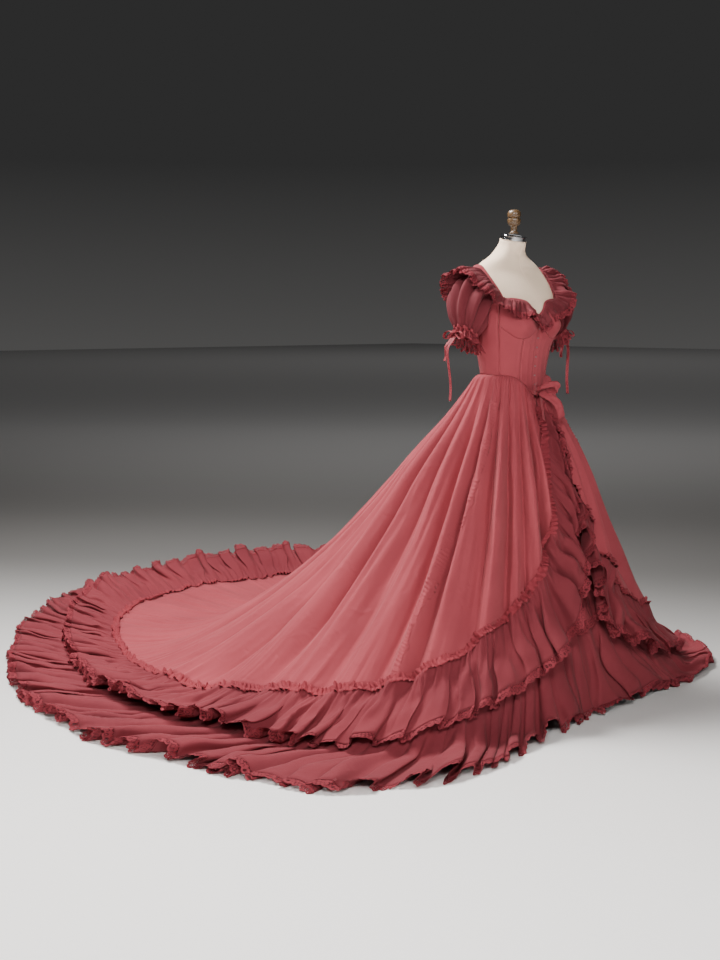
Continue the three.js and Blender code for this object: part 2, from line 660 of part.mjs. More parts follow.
function makeOverskirt() {
  const spans = 6;
  bothSides((side, way) => {
    const turns = edgeMarks(way, OPENING_TURN, 179.9, UPPER_WAVES_A_SIDE * POINTS_A_WAVE);
    const ends = turns.map((turn) => rowsTo(turn, edgeAlong(way, turn) - HALF_SEAM, spans));
    const rows = steps(spans).map((_, i) => turns.map((turn, j) => {
      const along = Math.max(ends[j][i], TOP_TUCK);
      return skirtPoint(way * turn, along, overskirtLift(way, turn, along));
    }));
    add(`overskirt_${side}`, wall(rows, { side: way }), "cloth");
  });
}

/** A point of the upper flounce, from its gathers (0) to its lace (1). */
function upperFlouncePoint(way, turn, down, wave) {
  const value = (column) => tableAt(edgeTable(way), "turn", column, turn);
  const slant = radians(value("slant"));
  const reach = reachAt(way, turn);
  const fall = value("width") * down + FLOUNCE_SEAM * (1 + 2 * Math.sin(slant));
  const start = edgeAlong(way, turn);
  const local = Math.hypot(...skirtPoint(turn, start, 0).toArray().slice(0, 2));
  const sideways = THREE.MathUtils.radToDeg((fall * Math.sin(slant)) / (local + 0.35 * fall));
  const near = 3; // the flounces of the two sides meet about here
  const swung = turn - sideways;
  const held = swung > near ? swung : near * Math.exp((swung - near) / 14);
  const bunched = Math.sqrt(Math.max(0, 1 - reach * reach));
  const free = smooth(down, 0, 0.4);
  const atOpening = (1 - smooth(turn, 34, 62)) * smooth(start, 40, 320);
  const lift = THREE.MathUtils.lerp(overskirtLift(way, turn, start), 15 + 24 * atOpening + 24 * down, free)
    + bunched * fall * 0.5;
  return skirtPoint(way * held, start + fall * Math.cos(slant) * (0.25 + 0.75 * reach),
    lift + 42 * down * wave);
}

function makeUpperFlounce() {
  bothSides((side, way) => {
    const columns = UPPER_WAVES_A_SIDE * POINTS_A_WAVE;
    const marks = edgeMarks(way, OPENING_TURN, 179.9, columns);
    const rows = [0, 0.4, 1].map((down) => marks.map((turn, j) =>
      upperFlouncePoint(way, turn, down, waveAt(j / columns, UPPER_WAVES_A_SIDE, 2 * way))));
    add(`upper_flounce_${side}`, wall(rows, { side: way }), "cloth");
  });
}

/** Where the lower flounce is gathered on. */
function underEdge(way, turn) {
  const covered = tableAt(edgeTable(way), "turn", "width", turn) - FLOUNCE_OVERLAP;
  return turn < 60 ? tableAt(UNDER_EDGE_FRONT, "turn", "along", turn)
    : edgeAlong(way, turn) + covered * (0.25 + 0.75 * reachAt(way, turn));
}

function makeUnderskirt() {
  const spans = 7;
  bothSides((side, way) => {
    const turns = edgeMarks(way, 0.1, 179.9, LOWER_WAVES_A_SIDE);
    const ends = turns.map((turn) => rowsTo(turn, underEdge(way, turn) - HALF_SEAM, spans));
    const rows = steps(spans).map((_, i) =>
      turns.map((turn, j) => skirtPoint(way * turn, Math.max(ends[j][i], TOP_TUCK), 1)));
    add(`underskirt_${side}`, wall(rows, { side: way }), "cloth");
  });
}

function makeLowerFlounce() {
  const frontLift = 3.6;
  const sideLift = 7.5;
  bothSides((side, way) => {
    const columns = LOWER_WAVES_A_SIDE * POINTS_A_WAVE;
    const marks = edgeMarks(way, 0.1, 179.9, columns);
    const rows = [0, 0.3, 1].map((down) => marks.map((turn, j) => {
      const start = underEdge(way, turn) - 8;
      const along = THREE.MathUtils.lerp(start, slopeAt(turn).hem, down);
      const wave = waveAt(j / columns, LOWER_WAVES_A_SIDE, way);
      const headerLift = THREE.MathUtils.lerp(frontLift, sideLift, smooth(turn, 45, 70));
      const seated = THREE.MathUtils.lerp(headerLift, 1, smooth(down, 0, 1));
      return skirtPoint(way * turn, along, seated + (2 + 44 * down ** 1.3) * wave);
    }));
    add(`lower_flounce_${side}`, wall(rows, { side: way }), "cloth");
  });
}

function makeFrontTiers() {
  const tiers = [
    { name: "tier_top", from: 330, to: 575, spread: 21 },
    { name: "tier_middle", from: 545, to: 790, spread: 30 },
  ];
  const columns = TIER_WAVES * POINTS_A_WAVE;
  tiers.forEach(({ name, from, to, spread }) => {
    const rows = [0, 0.4, 1].map((down) => steps(columns).map((part) => {
      const turn = THREE.MathUtils.lerp(-spread, spread, part) * (1 + 0.12 * down);
      const wave = waveAt(part, TIER_WAVES, from);
      return skirtPoint(turn, THREE.MathUtils.lerp(from, to, down), 4 + 10 * down + 11 * down * wave);
    }));
    add(name, wall(rows), "cloth");
  });
}

// ---- The bow at the front of the waist ----
function makeWaistBow() {
  const knotRadius = 12;
  const seatUp = waistUp(0) + knotRadius + 6;
  const out = -(figureRadius(0, seatUp) + BODICE_LIFT + CLOTH / 2 + 0.5 + 0.8 * knotRadius);
  const at = (x, away, up) => vec(x, out - away, seatUp + up);
  add("bow_knot", new THREE.SphereGeometry(knotRadius, 10, 7).scale(1, 0.8, 0.9), "cloth")
    .position.copy(at(0, 0, 0));
  bothSides((side, way) => {
    const points = (table) => table.map(([x, away, up]) => at(way * x, away, up));
    const loop = points([[13, 3, 0], [34, 26, 4], [60, 38, 7], [74, 34, 7], [62, 25, 6], [36, 14, 3]]);
    add(`bow_loop_${side}`, ribbon(loop, vec(0, -0.2, 0.98), 20, { loop: true }), "cloth");
    const tail = points([[9, 8, -12], [20, 32, -28], [30, 52, -58], [36, 68, -100]]);
    add(`bow_tail_${side}`, ribbon(tail, vec(way * 0.8, -0.3, 0.5), 22, { sections: 6, side: way }), "cloth");
  });
}

makeForm();
makeBodice();
makeNeckRuffle();
makeSleeves();
makeUnderskirt();
makeLowerFlounce();
makeFrontTiers();
makeOverskirt();
makeUpperFlounce();
makeWaistBow();

export default gown;
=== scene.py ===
"""Dresses a tiered, long-trained gown and the dress form that it stands on.

Metres, +Z up. The wearer faces -Y, the train runs towards +Y, and the wearer's right is -X.
A place on the skirts is given by "turn", the angle round the figure from the front, and "along",
the distance down the slope of the skirt from the waist seam.
"""
import logging
import math
from dataclasses import dataclass, field
from enum import Enum
from functools import partial
from typing import Callable, Iterable, Sequence

import bpy
import numpy as np
from mathutils import Matrix, Vector


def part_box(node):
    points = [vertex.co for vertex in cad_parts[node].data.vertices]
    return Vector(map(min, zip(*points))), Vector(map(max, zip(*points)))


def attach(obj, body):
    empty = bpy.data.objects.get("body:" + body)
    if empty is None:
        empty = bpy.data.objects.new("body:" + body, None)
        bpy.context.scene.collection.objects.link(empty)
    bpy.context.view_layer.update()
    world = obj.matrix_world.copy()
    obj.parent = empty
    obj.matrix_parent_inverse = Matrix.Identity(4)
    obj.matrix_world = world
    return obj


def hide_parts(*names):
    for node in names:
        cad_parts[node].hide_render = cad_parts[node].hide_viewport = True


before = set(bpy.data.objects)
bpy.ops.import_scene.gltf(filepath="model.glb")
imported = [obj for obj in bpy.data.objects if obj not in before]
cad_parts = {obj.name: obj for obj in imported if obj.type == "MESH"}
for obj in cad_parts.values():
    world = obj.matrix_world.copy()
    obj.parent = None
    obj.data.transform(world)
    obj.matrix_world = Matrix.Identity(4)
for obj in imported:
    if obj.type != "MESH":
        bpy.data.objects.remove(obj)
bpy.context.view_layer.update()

LOG = logging.getLogger("gown")
BODY = "root"
GATHERED = 1.3
RIBBON_CLOTH = 0.0007
LAST_TURN = 179.995
MARKS = 1500

Array = np.ndarray
Mesh = bpy.types.Object


class Side(Enum):
    """The wearer's two sides, as the sign of X."""

    RIGHT = -1
    LEFT = 1

    @property
    def word(self) -> str:
        """The side's word in the names of nodes."""
        return self.name.lower()

    @property
    def seed(self) -> int:
        """A number that tells the two sides' random folds apart."""
        return 11 if self is Side.RIGHT else 23

    @property
    def spread(self) -> float:
        """How much further out the strap lies on top of the shoulder than in front."""
        return 0.034 if self is Side.RIGHT else 0.024


# ---------------------------------------------------------------- numbers


def smooth(x: Array | float, low: float, high: float) -> Array:
    """Eases from 0 to 1.

    Args:
        x: where to read.
        low: where it is still 0.
        high: where it has reached 1.

    Returns:
        The eased value.
    """
    t = np.clip((np.asarray(x, float) - low) / (high - low), 0.0, 1.0)
    return t * t * (3 - 2 * t)


def mix(a: Array | float, b: Array | float, part: Array | float) -> Array:
    """The value that lies "part" of the way from a to b."""
    return a + (b - a) * part


def noise(seed: int, x: Array | float, y: Array | float = 0.0) -> Array:
    """Smooth random values, the same on each run.

    Args:
        seed: which set of values.
        x: place, with a new value at each whole number.
        y: place in the second direction.

    Returns:
        Values between -1 and 1.
    """
    size = 211
    table = np.random.default_rng(seed).uniform(-1.0, 1.0, (size, size))
    x, y = np.broadcast_arrays(np.asarray(x, float), np.asarray(y, float))
    i, j = np.floor(x).astype(int), np.floor(y).astype(int)
    u, v = smooth(x - i, 0, 1), smooth(y - j, 0, 1)

    def at(a: Array, b: Array) -> Array:
        """The table's value at a whole place."""
        return table[a % size, b % size]

    return mix(mix(at(i, j), at(i + 1, j), u), mix(at(i, j + 1), at(i + 1, j + 1), u), v)


def ridges(seed: int, x: Array, y: Array) -> Array:
    """Sharp ridges along the lines where such random values cross 0, from 0 to 1."""
    return np.maximum(0, 1 - 2.6 * np.abs(noise(seed, x, y)))


def cubic(t: Array, span: Array, values: tuple[Array, Array], slopes: tuple[Array, Array]) -> Array:
    """Values between two places, with a given slope at each.

    Args:
        t: where to read, from 0 at the first place to 1 at the second.
        span: how far apart the places are.
        values: the values at the two places.
        slopes: the slopes at the two places.

    Returns:
        The values at t.
    """
    return (
        (2 * t**3 - 3 * t * t + 1) * values[0]
        + (t**3 - 2 * t * t + t) * span * slopes[0]
        + (3 * t * t - 2 * t**3) * values[1]
        + (t**3 - t * t) * span * slopes[1]
    )


def lengths_along(points: Array, rooted: bool = False) -> Array:
    """How far along a line each of its points lies, from 0.

    Args:
        points: the line's points.
        rooted: whether each step counts as the root of its length, as a smooth curve wants.

    Returns:
        One length for each point.
    """
    steps = np.linalg.norm(np.diff(points, axis=0), axis=1)
    return np.concatenate([[0], np.cumsum(np.sqrt(steps) if rooted else steps)])


@dataclass(frozen=True)
class Table:
    """Sizes at a few places, with smooth values in between."""

    places: tuple[float, ...]
    columns: dict[str, tuple[float, ...]]

    def at(self, column: str, place: Array | float) -> Array:
        """Reads one column.

        Args:
            column: the column's name.
            place: where to read it.

        Returns:
            The smooth value there.
        """
        xs, ys = np.array(self.places), np.array(self.columns[column])
        x = np.clip(np.asarray(place, float), xs[0], xs[-1])
        i = np.clip(np.searchsorted(xs, x, side="right") - 1, 0, len(xs) - 2)
        slope = np.zeros(len(xs))
        slope[1:-1] = (ys[2:] - ys[:-2]) / (xs[2:] - xs[:-2])
        span = xs[i + 1] - xs[i]
        return cubic((x - xs[i]) / span, span, (ys[i], ys[i + 1]), (slope[i], slope[i + 1]))


def bezier(points: Sequence[Sequence[float]], t: Array) -> Array:
    """Points of a Bezier curve.

    Args:
        points: three or four control points.
        t: places from 0 to 1.

    Returns:
        One point for each place, in the last axis.
    """
    p = np.array(points, float)
    degree = len(p) - 1
    t = np.asarray(t, float)[..., None]
    return sum(math.comb(degree, k) * (1 - t) ** (degree - k) * t**k * p[k] for k in range(degree + 1))


def spline(points: Sequence[Sequence[float]] | Array, count: int, loop: bool = False) -> Array:
    """A smooth curve through points, evenly read between them.

    Args:
        points: what it passes through.
        count: how many points to read.
        loop: whether it closes on itself.

    Returns:
        The points, count of them.
    """
    p = np.array(points, float)
    if loop:
        p = np.concatenate([p[-2:], p, p[:3]])
    marks = lengths_along(p, rooted=True)
    slopes = np.gradient(p, marks, axis=0)
    first, last = (2, len(p) - 3) if loop else (0, len(p) - 1)
    x = np.linspace(marks[first], marks[last], count + 1)[:-1] if loop else np.linspace(0, marks[-1], count)
    i = np.clip(np.searchsorted(marks, x, side="right") - 1, 0, len(p) - 2)
    span = (marks[i + 1] - marks[i])[:, None]
    return cubic((x - marks[i])[:, None] / span, span, (p[i], p[i + 1]), (slopes[i], slopes[i + 1]))


# ---------------------------------------------------------------- meshes


def unit(v: Array) -> Array:
    """The vectors, each made one long."""
    return v / np.maximum(np.linalg.norm(v, axis=-1, keepdims=True), 1e-12)


def grid_normals(points: Array, loop: bool) -> Array:
    """Directions off a grid of points.

    Args:
        points: rows by columns by 3.
        loop: whether the columns join up.

    Returns:
        One direction for each point.
    """
    if loop:
        across = np.roll(points, -1, axis=1) - np.roll(points, 1, axis=1)
    else:
        across = np.gradient(points, axis=1)
    down = np.gradient(points, axis=0)
    return unit(np.cross(across, down))


def read_line(at: Array, marks: Array, values: Array) -> Array:
    """Reads vectors that are given at marks along a line.

    Args:
        at: where to read.
        marks: where the vectors are given.
        values: one vector for each mark.

    Returns:
        One vector for each place.
    """
    return np.stack([np.interp(at, marks, values[:, k]) for k in range(3)], axis=-1)


def keep_to(side: Side, points: Array, gap: float) -> Array:
    """Moves points that have crossed the middle back to their own side.

    Args:
        side: whose points they are.
        points: the points, which are changed.
        gap: how far from the middle they stay.

    Returns:
        The same points.
    """
    points[..., 0] = side.value * np.maximum(side.value * points[..., 0], gap)
    return points


def in_scene(name: str, data: bpy.types.ID) -> bpy.types.Object:
    """A new object in the scene, made of the given data."""
    made = bpy.data.objects.new(name, data)
    bpy.context.scene.collection.objects.link(made)
    return made


def mesh_from(name: str, points: Array, quads: Array, uvs: Array) -> Mesh:
    """A smooth mesh of quads with a UV map.

    Args:
        name: the piece's name.
        points: its vertices.
        quads: four vertex numbers a face.
        uvs: four UV places a face.

    Returns:
        The new object, at the origin.
    """
    data = bpy.data.meshes.new(name)
    data.vertices.add(len(points))
    data.vertices.foreach_set("co", points.astype(np.float32).ravel())
    data.loops.add(quads.size)
    data.loops.foreach_set("vertex_index", quads.astype(np.int32).ravel())
    data.polygons.add(len(quads))
    data.polygons.foreach_set("loop_start", np.arange(0, quads.size, 4, dtype=np.int32))
    data.polygons.foreach_set("use_smooth", np.ones(len(quads), bool))
    data.update(calc_edges=True)
    data.uv_layers.new(name="cloth").data.foreach_set("uv", uvs.astype(np.float32).ravel())
    data.validate()
    return in_scene(name, data)


def shell(name: str, points: Array, uv: Array, thickness: float, loop: bool = False) -> Mesh:
    """A closed thin shell of cloth round a grid of middle points.

    Args:
        name: the piece's name.
        points: rows by columns by 3.
        uv: rows by columns by 2, in metres on the cloth, with one more column on a loop.
        thickness: the cloth's thickness.
        loop: whether the columns join up, as on a sleeve.

    Returns:
        The new object.
    """
    rows, columns = points.shape[:2]
    off = grid_normals(points, loop) * (thickness / 2)
    both = np.concatenate([(points + off).reshape(-1, 3), (points - off).reshape(-1, 3)])
    both[:, 2] = np.maximum(both[:, 2], 0.0)
    spans = columns if loop else columns - 1
    i, j = np.meshgrid(np.arange(rows - 1), np.arange(spans), indexing="ij")
    i, j = i.ravel(), j.ravel()
    corners = [(i, j), (i + 1, j), (i + 1, j + 1), (i, j + 1)]
    inner = rows * columns

    def faces(places: list[tuple[Array, Array]], layers: Sequence[int]) -> tuple[Array, Array]:
        """Vertex numbers and UVs of one quad for each entry of the places."""
        index = [a * columns + b % columns + layer * inner for (a, b), layer in zip(places, layers)]
        flat = [uv[a, b] for a, b in places]
        return np.stack(index, 1), np.stack(flat, 1)

    made = [faces(corners, (0, 0, 0, 0)), faces(corners[::-1], (1, 1, 1, 1))]
    ends = np.arange(spans)
    top, bottom = np.zeros(spans, int), np.full(spans, rows - 1)
    through = (0, 0, 1, 1)
    for row, near, far in ((top, ends, ends + 1), (bottom, ends + 1, ends)):
        made.append(faces([(row, near), (row, far), (row, far), (row, near)], through))
    if not loop:
        walls = np.arange(rows - 1)
        for column, way in ((0, 1), (columns - 1, -1)):
            edge = np.full(rows - 1, column)
            places = [(walls + 1, edge), (walls, edge), (walls, edge), (walls + 1, edge)]
            made.append(faces(places[::way], through[::way]))
    quads = np.concatenate([index for index, _ in made])
    return mesh_from(name, both, quads, np.concatenate([flat for _, flat in made]))


def cloth_uv(points: Array, loop: bool = False) -> Array:
    """UVs in metres from the mean lengths of a grid's rows and columns.

    Args:
        points: rows by columns by 3.
        loop: whether the columns join up.

    Returns:
        Rows by columns by 2, with one more column on a loop.
    """
    grid = np.concatenate([points, points[:, :1]], axis=1) if loop else points
    across = np.linalg.norm(np.diff(grid, axis=1), axis=2).mean(axis=0)
    down = np.linalg.norm(np.diff(grid, axis=0), axis=2).mean(axis=1)
    u = np.concatenate([[0], np.cumsum(across)])
    v = np.concatenate([[0], np.cumsum(down)])
    return np.stack(np.broadcast_arrays(u[None, :], v[:, None]), axis=-1)


def deselect() -> None:
    """Leaves nothing selected, so that an operator acts on the new piece alone."""
    for piece in bpy.context.selected_objects:
        piece.select_set(False)


def make_active(piece: Mesh) -> Mesh:
    """Selects one piece and makes it the active one."""
    deselect()
    piece.select_set(True)
    bpy.context.view_layer.objects.active = piece
    return piece


def apply_place(piece: Mesh) -> Mesh:
    """Moves an object's place into its mesh, so that the object sits at the origin."""
    piece.data.transform(piece.matrix_world)
    piece.matrix_world = Matrix.Identity(4)
    return piece


def turned(name: str, profile: Sequence[tuple[float, float]], segments: int = 64) -> Mesh:
    """A turned piece: a profile spun round the Z axis.

    Args:
        name: the piece's name.
        profile: (out, up) from the axis to the axis again.
        segments: how many steps the spin has.

    Returns:
        The new closed object.
    """
    data = bpy.data.meshes.new(name)
    edges = [(k, k + 1) for k in range(len(profile) - 1)]
    data.from_pydata([(out, 0, up) for out, up in profile], edges, [])
    piece = make_active(in_scene(name, data))
    bpy.ops.object.mode_set(mode="EDIT")
    bpy.ops.mesh.select_all(action="SELECT")
    bpy.ops.mesh.spin(steps=segments, angle=2 * math.pi, center=(0, 0, 0), axis=(0, 0, 1))
    bpy.ops.mesh.select_all(action="SELECT")
    bpy.ops.mesh.remove_doubles(threshold=1e-5)
    bpy.ops.mesh.normals_make_consistent(inside=False)
    bpy.ops.object.mode_set(mode="OBJECT")
    bpy.ops.object.shade_smooth_by_angle(angle=math.radians(40))
    deselect()
    return piece


# ---------------------------------------------------------------- finishes


class Nodes:
    """A short way to write a node tree."""

    def __init__(self, tree: bpy.types.NodeTree) -> None:
        """Starts on an empty tree."""
        self.tree = tree
        tree.nodes.clear()

    def add(self, kind: str, inputs: dict[str | int, object] | None = None,
            **settings: object) -> bpy.types.Node:
        """Adds one node.

        Args:
            kind: the node's type without "ShaderNode".
            inputs: a value or an output socket for each named input.
            settings: the node's own properties.

        Returns:
            The node.
        """
        kind = kind if kind.startswith("Node") else "ShaderNode" + kind
        node = self.tree.nodes.new(kind)
        for key, value in settings.items():
            setattr(node, key, value)
        for key, value in (inputs or {}).items():
            if isinstance(value, bpy.types.NodeSocket):
                self.tree.links.new(value, node.inputs[key])
            else:
                node.inputs[key].default_value = value
        return node

    def maths(self, operation: str, a: object, b: object = 0.0) -> bpy.types.NodeSocket:
        """The output of one Math node."""
        return self.add("Math", {0: a, 1: b}, operation=operation).outputs[0]

    def blend(self, part: object, a: object, b: object) -> bpy.types.NodeSocket:
        """The colour that lies "part" of the way from a to b."""
        return self.add("Mix", {0: part, 6: a, 7: b}, data_type="RGBA").outputs[2]

    def spread(self, value: object, low: float, high: float, kind: str = "LINEAR") -> bpy.types.NodeSocket:
        """0 where a value is low, 1 where it is high."""
        made = self.add("MapRange", {0: value, 1: low, 2: high, 3: 0.0, 4: 1.0}, interpolation_type=kind)
        return made.outputs[0]


Colour = tuple[float, float, float, float]


def group(name: str, inputs: dict[str, float], outputs: Sequence[str],
          fill: Callable[[Nodes, bpy.types.NodeSocket, dict], dict]) -> bpy.types.NodeTree:
    """Builds a shader node group once.

    Args:
        name: the group's name.
        inputs: each number input with its first value; a Vector input comes before them.
        outputs: names of the number outputs.
        fill: adds the nodes and returns a socket for each output.

    Returns:
        The group's tree.
    """
    if name in bpy.data.node_groups:
        return bpy.data.node_groups[name]
    tree = bpy.data.node_groups.new(name, "ShaderNodeTree")
    tree.interface.new_socket("Vector", in_out="INPUT", socket_type="NodeSocketVector")
    for key, value in inputs.items():
        tree.interface.new_socket(key, in_out="INPUT", socket_type="NodeSocketFloat").default_value = value
    for key in outputs:
        tree.interface.new_socket(key, in_out="OUTPUT", socket_type="NodeSocketFloat")
    nodes = Nodes(tree)
    start, end = nodes.add("NodeGroupInput"), nodes.add("NodeGroupOutput")
    made = fill(nodes, start.outputs["Vector"], {key: start.outputs[key] for key in inputs})
    for key, socket in made.items():
        tree.links.new(socket, end.inputs[key])
    return tree


def weave_group() -> bpy.types.NodeTree:
    """Plain weave on a cloth's UVs: the height of its threads and how uneven they are."""

    def fill(nodes: Nodes, place: bpy.types.NodeSocket, given: dict) -> dict:
        """Adds the threads' nodes."""
        xyz = nodes.add("SeparateXYZ", {0: place})
        per_metre = nodes.maths("DIVIDE", 2 * math.pi, given["Thread"])
        warp = nodes.maths("SINE", nodes.maths("MULTIPLY", xyz.outputs[0], per_metre))
        weft = nodes.maths("SINE", nodes.maths("MULTIPLY", xyz.outputs[1], per_metre))
        slubs = nodes.add("TexNoise", {"Vector": nodes.add("Mapping", {
            "Vector": place, "Scale": (60, 900, 1)}).outputs[0], "Scale": 1.0, "Detail": 3.0})
        return {"Height": nodes.maths("MULTIPLY", warp, weft), "Slubs": slubs.outputs[0]}

    return group("weave", {"Thread": 0.0006}, ("Height", "Slubs"), fill)


def crease_group() -> bpy.types.NodeTree:
    """Fine handling creases and broad mottling over a piece."""

    def fill(nodes: Nodes, place: bpy.types.NodeSocket, given: dict) -> dict:
        """Adds the creases' nodes."""
        broad = nodes.add("TexNoise", {"Vector": place, "Scale": given["Mottle"], "Detail": 4.0})
        fold = nodes.add("TexNoise", {"Vector": place, "Scale": given["Crease"], "Detail": 2.5,
                                      "Distortion": 0.9}, noise_type="RIDGED_MULTIFRACTAL")
        return {"Height": fold.outputs[0], "Mottling": broad.outputs[0]}

    return group("creases", {"Mottle": 3.0, "Crease": 21.0}, ("Height", "Mottling"), fill)


def lace_group() -> bpy.types.NodeTree:
    """Scalloped lace on UVs: V runs from 0 at its sewn edge to 1 at the points."""

    def fill(nodes: Nodes, place: bpy.types.NodeSocket, given: dict) -> dict:
        """Adds the net, the flowers, the scallops and their corded edge."""
        xyz = nodes.add("SeparateXYZ", {0: place})
        u, v = xyz.outputs[0], xyz.outputs[1]
        turn = nodes.maths("MULTIPLY", u, nodes.maths("DIVIDE", math.pi, given["Scallop"]))
        arc = nodes.maths("ABSOLUTE", nodes.maths("SINE", turn))
        edge = nodes.maths("ADD", 0.78, nodes.maths("MULTIPLY", arc, 0.2))
        inside = nodes.maths("LESS_THAN", v, edge)
        rim = nodes.maths("LESS_THAN", nodes.maths("ABSOLUTE", nodes.maths("SUBTRACT", edge, v)), 0.11)
        sewn = nodes.maths("LESS_THAN", v, 0.12)
        petals = nodes.add("TexVoronoi", {"Vector": nodes.add("CombineXYZ", {
            0: nodes.maths("DIVIDE", u, given["Scallop"]), 1: v}).outputs[0], "Scale": 2.0,
            "Randomness": 0.35})
        flower = nodes.maths("LESS_THAN", petals.outputs[0], 0.34)
        leaf = nodes.maths("GREATER_THAN", petals.outputs[0], 0.47)
        mesh = nodes.add("TexVoronoi", {"Vector": place, "Scale": 260.0, "Randomness": 0.2},
                         feature="DISTANCE_TO_EDGE")
        net = nodes.maths("LESS_THAN", mesh.outputs[0], 0.13)
        edges, pattern = nodes.maths("MAXIMUM", rim, sewn), nodes.maths("MAXIMUM", flower, leaf)
        solid = nodes.maths("MAXIMUM", edges, pattern)
        thread = nodes.maths("MULTIPLY", nodes.maths("MAXIMUM", solid, net), inside)
        return {"Alpha": thread, "Height": solid}

    return group("scalloped lace", {"Scallop": 0.024}, ("Alpha", "Height"), fill)


def principled(nodes: Nodes, **values: object) -> bpy.types.Node:
    """A Principled BSDF joined to the material's output.

    Args:
        nodes: the material's nodes.
        values: inputs by name, with "_" for a space.

    Returns:
        The shader node.
    """
    given = {key.replace("_", " "): value for key, value in values.items()}
    shader = nodes.add("BsdfPrincipled", given)
    nodes.add("OutputMaterial", {0: shader.outputs[0]})
    return shader


class Slot(Enum):
    """The record's material slots."""

    CLOTH = "gown_cloth"
    LACE = "lace"
    LINEN = "linen"
    WOOD = "turned_wood"
    STEEL = "bright_steel"
    IRON = "dark_steel"


@dataclass(frozen=True)
class Finish:
    """What a surface is made of, and the record's slot for it."""

    name: str
    colour: Colour
    shade: Colour
    roughness: float = 0.8
    slot: Slot = field(default=Slot.CLOTH, kw_only=True)

    def material(self) -> bpy.types.Material:
        """The finish as a material, built once."""
        if self.name in bpy.data.materials:
            return bpy.data.materials[self.name]
        made = bpy.data.materials.new(self.name)
        made.use_nodes = True
        self.build(Nodes(made.node_tree))
        return made

    def build(self, nodes: Nodes) -> None:
        """Adds the material's nodes."""
        raise NotImplementedError


@dataclass(frozen=True)
class ClothFinish(Finish):
    """Plain-woven matt cloth."""

    sheen: float = 0.3
    crease: float = 0.35
    thread: float = 0.0006

    def build(self, nodes: Nodes) -> None:
        """Adds the weave, the creases and the dye's small changes."""
        uv = nodes.add("TexCoord")
        weave = nodes.add("Group", {0: uv.outputs["UV"], "Thread": self.thread}, node_tree=weave_group())
        folds = nodes.add("Group", {0: uv.outputs["Object"]}, node_tree=crease_group())
        dye = nodes.spread(folds.outputs["Mottling"], 0.3, 0.7)
        worn = nodes.maths("MULTIPLY", weave.outputs["Slubs"], 0.3)
        part = nodes.maths("ADD", nodes.maths("MULTIPLY", dye, 0.7), worn)
        colour = nodes.blend(part, self.shade, self.colour)
        height = nodes.maths("ADD", nodes.maths("MULTIPLY", weave.outputs["Height"], 0.00006),
                             nodes.maths("MULTIPLY", folds.outputs["Height"], 0.0011 * self.crease))
        bump = nodes.add("Bump", {"Strength": 0.8, "Distance": 1.0, "Height": height})
        principled(nodes, Base_Color=colour, Roughness=self.roughness, Normal=bump.outputs[0],
                   Sheen_Weight=self.sheen, Sheen_Roughness=0.45, Sheen_Tint=(1.0, 0.62, 0.6, 1.0),
                   Specular_IOR_Level=0.25)


@dataclass(frozen=True)
class LaceFinish(Finish):
    """Cotton lace with scalloped points."""

    scallop: float = 0.024

    def build(self, nodes: Nodes) -> None:
        """Adds the lace's threads and the open net between them, with the net painted nearly black as shade.
        """
        uv = nodes.add("TexCoord")
        lace = nodes.add("Group", {0: uv.outputs["UV"], "Scallop": self.scallop}, node_tree=lace_group())
        # Painted shade: the net between the motifs takes the nearly black second colour, standing in for the
        # dark seen through the lace's holes.
        colour = nodes.blend(lace.outputs["Height"], self.shade, self.colour)
        bump = nodes.add("Bump", {"Strength": 0.7, "Distance": 0.0006, "Height": lace.outputs["Height"]})
        principled(nodes, Base_Color=colour, Roughness=self.roughness, Alpha=lace.outputs["Alpha"],
                   Normal=bump.outputs[0], Specular_IOR_Level=0.2)


@dataclass(frozen=True)
class WoodFinish(Finish):
    """Oiled, turned wood with its grain along Z."""

    def build(self, nodes: Nodes) -> None:
        """Adds the grain."""
        place = nodes.add("TexCoord").outputs["Object"]
        stretched = nodes.add("Mapping", {"Vector": place, "Scale": (1, 1, 0.14)}).outputs[0]
        grain = nodes.add("TexWave", {"Vector": stretched, "Scale": 70.0, "Distortion": 9.0, "Detail": 4.0,
                                      "Detail Scale": 1.6}, bands_direction="X").outputs[0]
        pores = nodes.add("TexNoise", {"Vector": stretched, "Scale": 900.0, "Detail": 2.0}).outputs[0]
        colour = nodes.blend(nodes.maths("MULTIPLY", grain, pores), self.shade, self.colour)
        bump = nodes.add("Bump", {"Strength": 0.3, "Distance": 0.0004, "Height": grain})
        principled(nodes, Base_Color=colour, Roughness=self.roughness, Normal=bump.outputs[0],
                   Coat_Weight=0.4, Coat_Roughness=0.25)


@dataclass(frozen=True)
class MetalFinish(Finish):
    """Polished or painted metal with faint scuffs."""

    metallic: float = 1.0

    def build(self, nodes: Nodes) -> None:
        """Adds the scuffs to the gloss and the colour."""
        place = nodes.add("TexCoord").outputs["Object"]
        scuffs = nodes.add("TexNoise", {"Vector": place, "Scale": 140.0, "Detail": 6.0}).outputs[0]
        gloss = nodes.add("MapRange", {0: scuffs, 1: 0.35, 2: 0.75, 3: self.roughness,
                                       4: self.roughness + 0.15}).outputs[0]
        bump = nodes.add("Bump", {"Strength": 0.15, "Distance": 0.0003, "Height": scuffs})
        principled(nodes, Base_Color=nodes.blend(scuffs, self.shade, self.colour), Roughness=gloss,
                   Metallic=self.metallic, Normal=bump.outputs[0])


